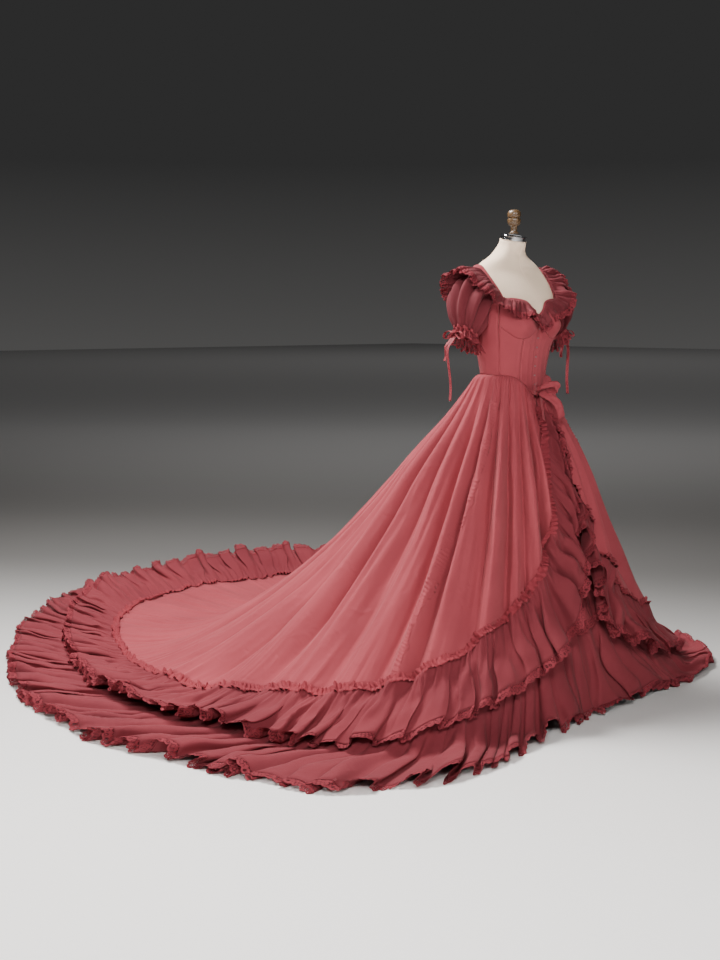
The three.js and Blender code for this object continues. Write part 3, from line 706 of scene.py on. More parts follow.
COTTON = ClothFinish("rose_cotton", (0.340, 0.055, 0.069, 1), (0.252, 0.037, 0.048, 1), 0.85, 0.10, 2.4)
# The same cotton, darker: painted shade of the deep gathers on the flounces and the front tiers.
FRILLED_PAINTED_SHADE = ClothFinish(
    "rose_cotton_gathered", (0.206, 0.030, 0.039, 1), (0.134, 0.0175, 0.025, 1), 0.88, 0.05, 1.8)
# Darker still: painted shade of the tight gathers on the sleeves and the neck ruffle, and of the ruffle's
# shadow on the sleeves.
SHIRRED_PAINTED_SHADE = ClothFinish(
    "rose_cotton_shirred", (0.160, 0.023, 0.031, 1), (0.102, 0.013, 0.019, 1), 0.88, 0.05, 1.8)
LINING = ClothFinish("rose_cotton_inside", (0.30, 0.044, 0.056, 1), (0.22, 0.030, 0.040, 1), 0.85, 0.08, 0.5)
RIBBON = ClothFinish("rose_ribbon", (0.27, 0.034, 0.045, 1), (0.20, 0.024, 0.033, 1), 0.65, 0.06, 0.1)
TRIM = ClothFinish("rose_gathered_trim", (0.27, 0.034, 0.045, 1), (0.18, 0.020, 0.029, 1), 0.88, 0.04, 0.6)
# The lace's second colour, nearly black, is painted shade on its net.
LACE = LaceFinish("rose_lace", (0.215, 0.029, 0.039, 1), (0.055, 0.006, 0.010, 1), 0.88, slot=Slot.LACE)
LINEN = ClothFinish("ivory_linen", (0.98, 0.78, 0.60, 1), (0.90, 0.68, 0.50, 1), 0.9, 0.0, 0.05, 0.0012,
                    slot=Slot.LINEN)
WOOD = WoodFinish("oiled_wood", (0.165, 0.095, 0.042, 1), (0.085, 0.045, 0.018, 1), 0.36, slot=Slot.WOOD)
# Half metallic with a near-white base colour: the cap's brightness is partly painted reflection, a pale
# diffuse colour standing in for the polish's bright reflections.
STEEL = MetalFinish(
    "bright_steel", (0.95, 0.95, 0.96, 1), (0.86, 0.87, 0.88, 1), 0.30, 0.45, slot=Slot.STEEL)
HOOK = MetalFinish("dulled_steel", (0.30, 0.22, 0.21, 1), (0.20, 0.13, 0.13, 1), 0.5, 0.6, slot=Slot.STEEL)
IRON = MetalFinish(
    "painted_iron", (0.045, 0.045, 0.048, 1), (0.02, 0.02, 0.022, 1), 0.4, 0.3, slot=Slot.IRON)


def dress(piece: Mesh, finish: Finish, nodes: Iterable[str] = ()) -> Mesh:
    """Gives a piece its finish and its place in the part.

    Args:
        piece: the new piece.
        finish: what it is made of.
        nodes: the CAD nodes that it stands for.

    Returns:
        The same piece.
    """
    piece.data.materials.clear()
    piece.data.materials.append(finish.material())
    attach(piece, BODY)
    names = list(nodes)
    if names:
        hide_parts(*names)
    LOG.info("%s: %d faces", piece.name, len(piece.data.polygons))
    return piece


def sewn(name: str, points: Array, thickness: float, finish: Finish, *,
         nodes: Iterable[str] = (), loop: bool = False, uv: Array | None = None, held: str = "gathered",
         rests_on: Sequence[str] = (), fullness: float = 1.0, width: float | None = None,
         declare: bool = True, trims: Sequence[Mesh] = ()) -> Mesh:
    """Args:
        name: the piece's name.
        points: rows by columns by 3.
        thickness: the cloth's thickness.
        finish: what it is made of.
        nodes: CAD nodes that it stands for.
        loop: whether the columns join up.
        uv: its UVs, or none for lengths in metres.
        held: how the cloth is held; not used.
        rests_on: what it hangs from or lies on; not used.
        fullness: cut area for each unit of the area that the folds show; not used.
        width: the cut's width down the rows, or none for the grid's own; not used.
        declare: whether it is a sheet of its own; not used.
        trims: pieces sewn on it; not used.

    Returns:
        The piece.
    """
    flat_uv = cloth_uv(points, loop)
    piece = shell(name, points, flat_uv if uv is None else uv, thickness, loop)
    dress(piece, finish, nodes)
    return piece


# ---------------------------------------------------------------- the figure


@dataclass
class Figure:
    """The form's torso and the surfaces that lie on it."""

    neck_top: float = 1.510
    neck_tilt: float = math.radians(12)
    neck_back: float = 0.020
    chest_up: float = 1.330
    shoulder_up: float = 1.420
    bodice_lift: float = 0.004
    waist_side: float = 1.080
    waist_drop: float = 0.066
    waist_spread: float = 30.0
    bust_turn: float = 33.0
    bust_up: float = 1.236
    bust_out: float = 0.033
    bust_turn_spread: float = 21.0
    bust_up_spread: float = 0.046
    cup_ease: float = 0.005
    oval_power: float = 2.2
    sections: Table = field(default_factory=lambda: Table(
        (0.800, 0.860, 0.920, 1.000, 1.060, 1.120, 1.180, 1.230, 1.280, 1.320, 1.350, 1.375, 1.395, 1.415,
         1.440, 1.460, 1.485, 1.510),
        {
            "side": (0.170, 0.174, 0.166, 0.139, 0.119, 0.128, 0.146, 0.160, 0.168, 0.171, 0.170, 0.166,
                     0.159, 0.147, 0.112, 0.072, 0.046, 0.041),
            "front": (0.110, 0.114, 0.110, 0.097, 0.087, 0.090, 0.096, 0.102, 0.098, 0.088, 0.076, 0.067,
                      0.058, 0.048, 0.041, 0.040, 0.040, 0.041),
            "back": (0.120, 0.124, 0.116, 0.094, 0.077, 0.080, 0.088, 0.094, 0.098, 0.098, 0.092, 0.085,
                     0.079, 0.072, 0.062, 0.053, 0.046, 0.041),
        }))
    neckline: Table = field(default_factory=lambda: Table(
        (0, 10, 24, 42, 56, 70, 92, 112, 128, 150, 180),
        {"up": (1.272, 1.284, 1.310, 1.320, 1.322, 1.318, 1.284, 1.288, 1.306, 1.300, 1.296)}))

    def radius(self, turn: Array | float, up: Array | float, bust_out: float | None = None) -> Array:
        """How far the figure's surface is from the axis.

        Args:
            turn: degrees from the front.
            up: height above the floor.
            bust_out: how full the bust is, or none for the bodice's own.

        Returns:
            The distance.
        """
        turn, up = np.broadcast_arrays(np.asarray(turn, float), np.asarray(up, float))
        side = self.sections.at("side", up)
        depth = np.where(np.abs(turn) < 90, self.sections.at("front", up), self.sections.at("back", up))
        a = np.radians(turn)
        power = self.oval_power
        oval = (np.abs(np.sin(a) / side) ** power + np.abs(np.cos(a) / depth) ** power) ** (-1 / power)
        bust = np.exp(-(((np.abs(turn) - self.bust_turn) / self.bust_turn_spread) ** 2)
                      - ((up - self.bust_up) / self.bust_up_spread) ** 2)
        return oval + (self.bust_out if bust_out is None else bust_out) * bust

    def point(self, turn: Array | float, up: Array | float, lift: Array | float = 0.0) -> Array:
        """Points over the figure, lifted off its surface."""
        out = self.radius(turn, up) + lift
        a = np.radians(turn)
        return np.stack(np.broadcast_arrays(out * np.sin(a), -out * np.cos(a), up), axis=-1)

    def shoulder(self, side: Array, over: Array, lift: Array | float) -> Array:
        """Points over the shoulder.

        Args:
            side: distance from the middle.
            over: degrees from the front, over the top, to the back.
            lift: distance off the surface.

        Returns:
            The points.
        """
        side, over = np.broadcast_arrays(np.asarray(side, float), np.asarray(over, float))
        a = np.radians(over)
        start_y, start_z = 0.004, 1.300
        reach = np.full(side.shape, 0.020)
        step = 0.064
        while step > 0.00005:
            y = start_y - np.cos(a) * (reach + step)
            z = start_z + np.sin(a) * (reach + step)
            turn = np.degrees(np.arctan2(side, -y))
            reach = np.where(np.hypot(side, y) < self.radius(turn, z), reach + step, reach)
            step /= 2
        reach = reach + lift
        up = start_z + np.sin(a) * reach
        return np.stack([side, start_y - np.cos(a) * reach + self.setback(up), up], axis=-1)

    def setback(self, up: Array | float) -> Array:
        """How far the shoulders and the neck sit behind the chest."""
        return self.neck_back * smooth(up, self.chest_up, self.shoulder_up)

    def waist(self, turn: Array | float) -> Array:
        """Height of the waist seam."""
        return self.waist_side - self.waist_drop * np.exp(-((np.asarray(turn) / self.waist_spread) ** 2))

    def top_edge(self, turn: Array | float) -> Array:
        """Height of the bodice's top edge."""
        return self.neckline.at("up", np.abs(turn))


@dataclass
class DressForm:
    """The limbless form: linen torso, bright neck cap, turned finial, tube and base."""

    figure: Figure
    foot: float = 0.800
    rings: int = 84
    columns: int = 96
    cap_radius: float = 0.043
    cap_back: float = 0.006
    cap_height: float = 0.015
    seam_gap: float = 0.0003
    end_ring: float = 0.97
    seams: tuple = (0.0, 36.0, 88.0, 146.0, 180.0)
    seam_turn: float = 0.9
    seam_depth: float = 0.0011
    neck_foot: float = 1.440

    def build(self) -> None:
        """Builds and dresses every piece of the form."""
        self.torso()
        self.neck_cap()
        self.finial()
        self.stand()

    def torso(self) -> Mesh:
        """The padded torso under its linen cover, with its princess seams."""
        figure = self.figure
        up = np.linspace(self.foot, figure.neck_top, self.rings)[:, None]
        turn = np.linspace(-180, 180, self.columns, endpoint=False)[None, :]
        seam = sum(np.exp(-((np.abs(turn) - at) / self.seam_turn) ** 2) for at in self.seams)
        out = figure.radius(turn, up, figure.bust_out - figure.cup_ease) - self.seam_depth * seam
        a = np.radians(turn)
        to_cap = smooth(up, self.neck_foot + 0.015, figure.neck_top)
        back = figure.setback(up) - (figure.neck_back - self.cap_back) * to_cap
        x, y = out * np.sin(a), -out * np.cos(a)
        z = up + y * math.tan(figure.neck_tilt) * smooth(up, self.neck_foot, figure.neck_top)
        points = np.stack(np.broadcast_arrays(x, y + back, z), axis=-1)
        uv = cloth_uv(points, loop=True)
        foot, top = (mix(ring.mean(axis=0), ring, self.end_ring)[None] for ring in (points[0], points[-1]))
        solid, uv = np.concatenate([foot, points, top]), np.concatenate([uv[:1], uv, uv[-1:]])
        return dress(self.closed_body("form_torso", solid, uv), LINEN, ["form_body"])

    @staticmethod
    def closed_body(name: str, rings: Array, uv: Array) -> Mesh:
        """A closed body lofted through rings, with its two ends filled.

        Args:
            name: the piece's name.
            rings: rings by columns by 3, from the foot up.
            uv: the same with one more column.

        Returns:
            The new object.
        """
        rows, columns = rings.shape[:2]
        i, j = np.meshgrid(np.arange(rows - 1), np.arange(columns), indexing="ij")
        places = [(i, j), (i, j + 1), (i + 1, j + 1), (i + 1, j)]
        quads = np.stack([(a * columns + b % columns).ravel() for a, b in places], 1)
        flat = np.stack([uv[a, b].reshape(-1, 2) for a, b in places], 1)
        piece = mesh_from(name, rings.reshape(-1, 3), quads, flat)
        make_active(piece)
        bpy.ops.object.mode_set(mode="EDIT")
        bpy.ops.mesh.select_all(action="DESELECT")
        bpy.ops.mesh.select_non_manifold()
        bpy.ops.mesh.fill_holes(sides=0)
        bpy.ops.mesh.select_all(action="SELECT")
        bpy.ops.mesh.normals_make_consistent(inside=False)
        bpy.ops.object.mode_set(mode="OBJECT")
        deselect()
        return piece

    def neck_cap(self) -> Mesh:
        """The polished cap on the sloping neck, with a rolled rim."""
        r, h = self.cap_radius, self.cap_height
        profile = [(0, 0), (r - 0.001, 0), (r, 0.001), (r, 0.0035), (r - 0.0008, 0.0042),
                   (r - 0.0008, h - 0.004), (r, h - 0.0033), (r, h - 0.0012), (r - 0.0012, h),
                   (r - 0.006, h - 0.0004), (r - 0.008, h - 0.0012), (0.018, h - 0.0014), (0.016, h), (0, h)]
        piece = turned("form_cap", profile, 96)
        tilt, gap = self.figure.neck_tilt, self.seam_gap
        foot = Vector((0, self.cap_back - gap * math.sin(tilt), self.figure.neck_top + gap))
        piece.data.transform(Matrix.Translation(foot) @ Matrix.Rotation(tilt, 4, "X"))
        return dress(piece, STEEL, ["form_neck_cap"])

    def finial(self) -> Mesh:
        """The turned wooden finial on the cap."""
        outline = [(0, 0), (0.0145, 0), (0.0152, 0.001), (0.015, 0.0045), (0.0112, 0.007), (0.0098, 0.010),
                   (0.0102, 0.017), (0.0120, 0.024), (0.0160, 0.0275), (0.0192, 0.0320), (0.0216, 0.0385),
                   (0.0220, 0.0440), (0.0212, 0.0478), (0.0178, 0.0500), (0.0172, 0.0512), (0.0196, 0.0530),
                   (0.0212, 0.0555), (0.0221, 0.0605), (0.0213, 0.0680), (0.0188, 0.0728), (0.0130, 0.0765),
                   (0.0060, 0.0778), (0, 0.078)]
        piece = turned("form_knob", outline, 64)
        foot = self.figure.neck_top + self.cap_height + 0.0042
        piece.data.transform(Matrix.Translation((0, self.cap_back - 0.003, foot)))
        return dress(piece, WOOD, ["form_finial"])

    def stand(self) -> None:
        """The tube and the round base under the skirt."""
        r, edge, base = 0.012, 0.165, 0.010
        low, high = base + self.seam_gap, self.foot - self.seam_gap
        tube = [(0, low), (r - 0.001, low), (r, low + 0.001), (r, high - 0.001), (r - 0.001, high), (0, high)]
        plate = [(0, 0), (edge - 0.001, 0), (edge, 0.001), (edge - 0.001, 0.0045), (edge - 0.006, 0.0088),
                 (edge - 0.010, base), (0.03, base), (0, base)]
        for name, profile, segments, node in (("form_tube", tube, 40, "form_pole"),
                                              ("form_plate", plate, 96, "form_base")):
            dress(turned(name, profile, segments), IRON, [node])


# ---------------------------------------------------------------- the bodice


class Region(Enum):
    """Which stretch of the bodice a panel covers."""

    LOWER = "waist seam to the seam under the cup"
    CUP = "seam under the cup to the top edge"
    FULL = "waist seam to the top edge"


@dataclass(frozen=True)
class Seam:
    """An upright seam, as turns at the waist and at the top edge."""

    waist: float
    top: float


@dataclass(frozen=True)
class Panel:
    """One cut piece of the bodice."""

    name: str
    fore: Seam
    aft: Seam
    region: Region
    bones: tuple[float, ...] = ()


@dataclass
class Bodice:
    """The boned bodice: panels, cups, straps and the clasps at its front."""

    figure: Figure
    cloth: float = 0.0018
    gap: float = 0.0003
    gap_turn: float = 0.12
    overlap: float = 0.0030
    cup_from: float = 4.0
    cup_to: float = 67.0
    cup_side: float = 1.240
    cup_drop: float = 0.047
    rows: int = 36
    columns: int = 22
    bust_share: float = 0.76
    seam_dip: float = 0.0011
    seam_half: float = 0.0035
    bone_rise: float = 0.0007
    bone_half: float = 0.0055
    strap_wide: float = 0.017
    strap_edge: float = 0.122
    strap_off: float = 0.012

    def panels(self) -> list[Panel]:
        """The cut pieces of one side."""
        middle, placket, front = Seam(0, 0), Seam(4, 4), Seam(37, 34)
        princess, side, back = Seam(70, 67), Seam(112, 106), Seam(180, 180)
        return [
            Panel("placket", middle, placket, Region.FULL, (0.62,)),
            Panel("front_panel", placket, front, Region.LOWER, (0.13, 0.52, 0.91)),
            Panel("princess_panel", front, princess, Region.LOWER, (0.10, 0.90)),
            Panel("cup", placket, princess, Region.CUP),
            Panel("side_panel", princess, side, Region.FULL, (0.08, 0.5, 0.92)),
            Panel("back_panel", side, back, Region.FULL, (0.06, 0.45, 0.94)),
        ]

    def under_cup(self, turn: Array) -> Array:
        """Height of the seam under the cup."""
        x = 2 * (turn - self.cup_from) / (self.cup_to - self.cup_from) - 1
        return self.cup_side - self.cup_drop * (1 - x * x)

    def build(self) -> None:
        """Builds both sides and the clasps."""
        for side in Side:
            for panel in self.panels():
                self.panel(panel, side)
            self.strap(side)
        self.clasps()

    def turns_and_heights(self, panel: Panel) -> tuple[Array, Array, Array, Array]:
        """Where a panel's points lie.

        Args:
            panel: the cut piece.

        Returns:
            The part across and up the panel, and the turn and height of each point.
        """
        across = np.linspace(0, 1, self.columns)[None, :]
        part = np.linspace(0, 1, self.rows)[:, None]
        share = np.broadcast_to(part, (self.rows, self.columns))
        if panel.region is Region.CUP:
            share = np.ones_like(share)

        def turns(share: Array) -> Array:
            """The turn of each column at a share of the way up the seams."""
            fore = mix(panel.fore.waist, panel.fore.top, share) + (self.gap_turn if panel.fore.top else 0.0)
            aft = mix(panel.aft.waist, panel.aft.top, share) - self.gap_turn
            return mix(fore, aft, across)

        figure = self.figure
        if panel.region is Region.LOWER:
            turn = turns(share)
            up = mix(figure.waist(turn) - self.overlap, self.under_cup(turn) - self.gap, part)
        elif panel.region is Region.CUP:
            turn = turns(share)
            up = mix(self.under_cup(turn) + self.gap, figure.top_edge(turn) - self.gap, part)
        else:
            bust = self.bust_share
            turn = turns(np.clip(share / bust, 0, 1))
            low = mix(figure.waist(turn) - self.overlap, self.cup_side, np.clip(part / bust, 0, 1))
            up = mix(low, figure.top_edge(turn) - self.gap, np.clip((part - bust) / (1 - bust), 0, 1))
        return np.broadcast_to(across, turn.shape), np.broadcast_to(part, turn.shape), turn, up

    def panel(self, panel: Panel, side: Side) -> Mesh:
        """Makes one cut piece: it dips at its seams and rises over its bones."""
        across, part, turn, up = self.turns_and_heights(panel)
        arc = self.figure.radius(turn, up) * math.radians(abs(panel.aft.waist - panel.fore.waist))
        height = up[-1:] - up[:1]
        ends = np.minimum(part, 1 - part) if panel.region is Region.CUP else 1 - part
        edge = np.minimum(np.minimum(across, 1 - across) * arc, ends * height)
        dip = 1 - np.exp(-((edge / self.seam_half) ** 2))
        lift = self.figure.bodice_lift + self.seam_dip * dip - 0.0005
        for bone in panel.bones:
            distance = np.abs(across - bone) * arc
            stitched = np.exp(-(((distance - self.bone_half - 0.001) / 0.0013) ** 2))
            lift = lift + self.bone_rise * smooth(self.bone_half - distance, 0, 0.0018) - 0.0004 * stitched
        fade = np.minimum(1, edge / 0.012)
        if panel.region is not Region.CUP:
            wrinkles = noise(31, up * 55 + turn * 0.03, turn * 0.06 * side.value)
            lift = lift + 0.0011 * wrinkles * fade * smooth(1.17 - up, 0, 0.10)
        else:
            lift = lift + 0.0007 * noise(37, turn * 0.45 * side.value, up * 12) * fade
        points = keep_to(side, self.figure.point(side.value * turn, up, lift), self.gap / 2)
        name = f"{panel.name}_{side.word}"
        return sewn(f"bodice_{name}", points, self.cloth, COTTON, nodes=[name], held="stretched",
                    rests_on=["form_torso"])

    def strap(self, side: Side) -> Mesh:
        """The wide strap over the shoulder."""
        over = np.linspace(6, 170, 46)[:, None]
        top = np.sin(np.radians(over))
        wide = np.linspace(0, self.strap_wide, 7)[None, :]
        across = self.strap_edge + (0.004 + 0.7 * side.spread) * top + wide
        lift = self.figure.bodice_lift + 0.0004 * noise(41, over * 0.1, across * 60)
        if side is Side.RIGHT:
            lift = lift + self.strap_off * top
        points = self.figure.shoulder(across, over, lift)
        points[..., 0] *= side.value
        return sewn(f"bodice_strap_{side.word}", points, self.cloth, COTTON,
                    nodes=[f"strap_{side.word}"], held="stretched", rests_on=["form_torso"])

    def clasps(self) -> None:
        """The busk's clasps: a plate and its stud, on each of the CAD's places."""
        number = 1
        while f"busk_clasp_{number}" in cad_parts:
            name = f"busk_clasp_{number}"
            low, high = (Vector(corner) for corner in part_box(name))
            centre, size = (low + high) / 2, high - low
            deselect()
            bpy.ops.mesh.primitive_cube_add(size=1, location=centre)
            plate = bpy.context.active_object
            plate.name = f"clasp_{number}"
            plate.scale = size * 0.92
            bpy.ops.object.transform_apply(location=True, rotation=False, scale=True)
            bevel = plate.modifiers.new("edge", "BEVEL")
            bevel.width, bevel.segments = 0.0006, 3
            bpy.ops.object.modifier_apply(modifier="edge")
            bpy.ops.mesh.primitive_uv_sphere_add(segments=20, ring_count=12, radius=0.0016,
                                                 location=(centre.x, low.y + 0.0004, centre.z))
            stud = bpy.context.active_object
            apply_place(stud)
            plate.select_set(True)
            bpy.context.view_layer.objects.active = plate
            bpy.ops.object.join()
            bpy.ops.object.shade_smooth_by_angle(angle=math.radians(35))
            apply_place(plate)
            deselect()
            dress(plate, HOOK, [name])
            number += 1


# ---------------------------------------------------------------- ruffles in general


@dataclass(frozen=True)
class Gathers:
    """How a strip of cloth is gathered: its folds are uneven, hang over their necks and lean."""

    waves: float
    seed: int
    uneven: float = 0.4
    sharpness: float = 0.8
    overhang: float = 0.10
    broad: float = 0.07
    lean: float = 0.22

    def phase(self, part: Array) -> Array:
        """The folds' angle at a part of the way along the strip."""
        x = part * self.waves
        drift = noise(self.seed, x * 0.45) * 2.1 + noise(self.seed + 1, x * 0.17) * 2.6
        return 2 * math.pi * x + drift

    def height(self, part: Array) -> Array:
        """The folds' height, 0 in a trough and up to 1 on a crest."""
        rise = ((1 - np.cos(self.phase(part))) / 2) ** self.sharpness
        size = 1 - self.uneven * (0.5 + 0.9 * noise(self.seed + 2, part * self.waves * 0.83))
        ends = smooth(np.minimum(part, 1 - part), 0.0, 0.010)
        return mix(0.3, rise * np.clip(size, 0.15, 1.15), ends)

    def sway(self, part: Array) -> Array:
        """How far a fold's cloth is moved along the strip, as a part of the strip."""
        angle = self.phase(part)
        lean = self.lean * noise(self.seed + 3, part * self.waves * 0.7)
        moved = self.overhang * np.sin(2 * angle) - self.broad * np.sin(angle) + lean * (1 - np.cos(angle))
        return moved / self.waves * smooth(np.minimum(part, 1 - part), 0.0, 0.012)


@dataclass
class LaceEdge:
    """The lace that finishes a ruffle."""

    ripple: float = 0.0028
    pitch: float = 0.013
    thickness: float = 0.0007
    rows: int = 4

    def rippled(self, points: Array) -> Array:
        """Moves the lace's points so that its free edge ripples.

        Args:
            points: rows by columns by 3, from the sewn edge to the points.

        Returns:
            The moved points.
        """
        along = lengths_along(points[-1])[None, :] / self.pitch
        free = np.linspace(0, 1, len(points))[:, None] ** 0.7
        size = 0.7 + 0.5 * noise(10, along * 0.3)
        wave = np.sin(2 * math.pi * along + 2.5 * noise(9, along * 0.4)) * size
        return points + grid_normals(points, False) * (wave * free * self.ripple)[..., None]

    def uv(self, points: Array, loop: bool = False) -> Array:
        """UVs for lace: metres along it, and 0 to 1 across it."""
        uv = cloth_uv(points, loop)
        uv[..., 1] /= uv[-1, 0, 1]
        return uv

    def sew(self, name: str, points: Array, nodes: Sequence[str] = (), loop: bool = False) -> Mesh:
        """Makes the lace from its grid of points."""
        return sewn(name, points, self.thickness, LACE, nodes=nodes, loop=loop,
                    uv=self.uv(points, loop), declare=False)


@dataclass(kw_only=True)
class Ruffle:
    """What every ruffle has: its grid, its cloth, and the lace that starts part of the way down it."""

    columns: int
    rows: int
    waves: float
    lace_from: float
    lace_columns: int = 1040
    under_lace: float = 0.02
    lace_off: float = -0.0011
    middle_gap: float | None = None
    lowest: float | None = None
    cut_width: float | None = None
    cloth: float = 0.0010
    # By default the darker cotton, with the gathers' shade painted into its colour.
    finish: Finish = FRILLED_PAINTED_SHADE
    lace: LaceEdge = field(default_factory=LaceEdge)

    def sew(self, names: tuple[str, str, str], surface: Callable[[Array, Array], Array],
            rests_on: Sequence[str], side: Side | None = None) -> None:
        """Makes the ruffle's cloth and its lace.

        Args:
            names: the cloth's name, the lace's name and the CAD node, each without its side.
            surface: gives the points at parts of the way along and down, down to the lace's points at 1.
            rests_on: what the ruffle is sewn to, without its side.
            side: the side that its names and its points belong to, or none.
        """
        ending = f"_{side.word}" if side else ""
        name, lace_name, node = (word + ending for word in names)
        cloth_to = self.lace_from + self.under_lace
        cloth, lace = (
            surface(np.linspace(0, 1, columns)[None, :], np.linspace(start, end, rows)[:, None])
            for columns, start, end, rows in ((self.columns, 0, cloth_to, self.rows),
                                              (self.lace_columns, self.lace_from, 1.0, self.lace.rows)))
        lace = self.lace.rippled(lace + grid_normals(lace, False) * self.lace_off)
        for grid in (cloth, lace):
            if self.middle_gap is not None:
                keep_to(side, grid, self.middle_gap)
            if self.lowest is not None:
                grid[..., 2] = np.maximum(grid[..., 2], self.lowest)
        trim = self.lace.sew(lace_name, lace)
        sewn(name, cloth, self.cloth, self.finish, nodes=[node], fullness=GATHERED,
             width=self.cut_width, rests_on=[word + ending for word in rests_on], trims=[trim])


# ---------------------------------------------------------------- the neck ruffle


@dataclass(kw_only=True)
class NeckRuffle(Ruffle):
    """The ruffle round the neck, over the cups and up along the straps."""

    figure: Figure
    waves: float = 30
    columns: int = 560
    lace_columns: int = 560
    rows: int = 11
    lace_from: float = 0.66
    under_lace: float = 0.03
    lace_off: float = 0.0009
    droop: float = 0.034
    strap_edge: float = 0.126
    strap_off: float = 0.015
    fine: int = 1600
    cloth: float = 0.0008
    # The darkest cotton, with the gathers' shade painted into its colour.
    finish: Finish = SHIRRED_PAINTED_SHADE
    lace: LaceEdge = field(default_factory=lambda: LaceEdge(0.0020, 0.011, 0.0006, 5))

    def keys(self, side: Side) -> tuple[Array, Array, Array]:
        """Where the ruffle is sewn on, the way it falls, and its width, from front to back."""
        figure, edge = self.figure, 0.005
        lift = figure.bodice_lift + 0.002 + 0.0013
        at, falls, widths = [], [], []

        def on_bodice(turn: float, outwards: float, width: float) -> None:
            """Adds a place on the bodice's top edge."""
            at.append(figure.point(turn, figure.top_edge(turn) - edge, lift))
            a = math.radians(turn)
            falls.append((outwards * math.sin(a), -outwards * math.cos(a), -0.85))
            widths.append(width)

        def on_strap(over: float, fall: tuple[float, float, float], width: float) -> None:
            """Adds a place on the strap."""
            top = math.sin(math.radians(over))
            off = lift + (self.strap_off if side is Side.RIGHT else 0.0) * top
            at.append(figure.shoulder(self.strap_edge + side.spread * top, over, off))
            falls.append(fall)
            widths.append(width)

        for turn, outwards, width in ((1, 0.36, 0.064), (9, 0.38, 0.066), (18, 0.42, 0.068),
                                      (28, 0.46, 0.070), (38, 0.5, 0.072), (47, 0.6, 0.074)):
            on_bodice(turn, outwards, width)
        for over, fall, width in ((20, (0.80, -0.52, -0.42), 0.078), (35, (0.88, -0.38, -0.30), 0.082),
                                  (55, (0.95, -0.18, -0.16), 0.088), (80, (0.93, 0.10, -0.10), 0.092),
                                  (105, (0.84, 0.40, -0.10), 0.100), (130, (0.74, 0.56, -0.22), 0.094),
                                  (150, (0.66, 0.62, -0.36), 0.080)):
            on_strap(over, fall, width)
        for turn, outwards, width in ((135, 0.75, 0.062), (146, 0.6, 0.055), (162, 0.5, 0.052),
                                      (179, 0.5, 0.050)):
            on_bodice(turn, outwards, width)
        return np.array(at), unit(np.array(falls)), np.array(widths)

    def build(self) -> None:
        """Builds the ruffle and its lace on both sides."""
        for side in Side:
            at, falls, widths = self.keys(side)
            fine = spline(at, self.fine)
            lengths, marks = lengths_along(fine), lengths_along(at, rooted=True)
            even = np.linspace(0, lengths[-1], self.columns)
            line = read_line(even, lengths, fine)
            places = np.interp(even, lengths, np.linspace(0, marks[-1], len(fine)))
            fall = unit(read_line(places, marks, falls))
            width = np.interp(places, marks, widths)
            out = -unit(np.cross(np.gradient(line, axis=0), fall))
            self.side(side, line, fall, out, width)

    def side(self, side: Side, line: Array, fall: Array, out: Array, width: Array) -> None:
        """Builds one side's ruffle from the line that it is sewn on."""
        gathers = Gathers(self.waves, side.seed, 0.8, 0.8, lean=0.4)
        small = Gathers(self.waves * 2.6, side.seed + 5, 0.6, 1.0)
        tangent = unit(np.gradient(line, axis=0))
        length = lengths_along(line)[-1]

        def surface(part: Array, down: Array) -> Array:
            """Points of the ruffle from its seam (0) to its lace's points (1)."""
            free = smooth(down, 0, 0.5)
            deep = 0.019 + 0.14 * (width[None] - 0.064)
            wave = (gathers.height(part) * deep * down ** 1.1
                    + small.height(part) * 0.0045 * (1 - free) * smooth(down, 0, 0.08)
                    + 0.012 * noise(side.seed + 8, part * 24, down * 2.2) * free)
            lean = gathers.sway(part) * length * smooth(down, 0.1, 0.8)
            sag = 0.0045 * np.sin(down * math.pi)
            points = (line[None] + fall[None] * (width[None] * down * (0.99 - 2.2 * wave))[..., None]
                      + out[None] * (wave + sag)[..., None] + tangent[None] * lean[..., None])
            level = smooth(fall[None, :, 2], -0.3, 0.2)
            points[..., 2] -= self.droop * smooth(down, 0.35, 1.15) ** 1.5 * level
            points[..., 0] *= side.value
            return keep_to(side, points, 0.0004)

        self.sew(("neck_frill", "neck_lace", "neck_ruffle"), surface, ["bodice_cup", "bodice_strap"], side)


# ---------------------------------------------------------------- sleeves


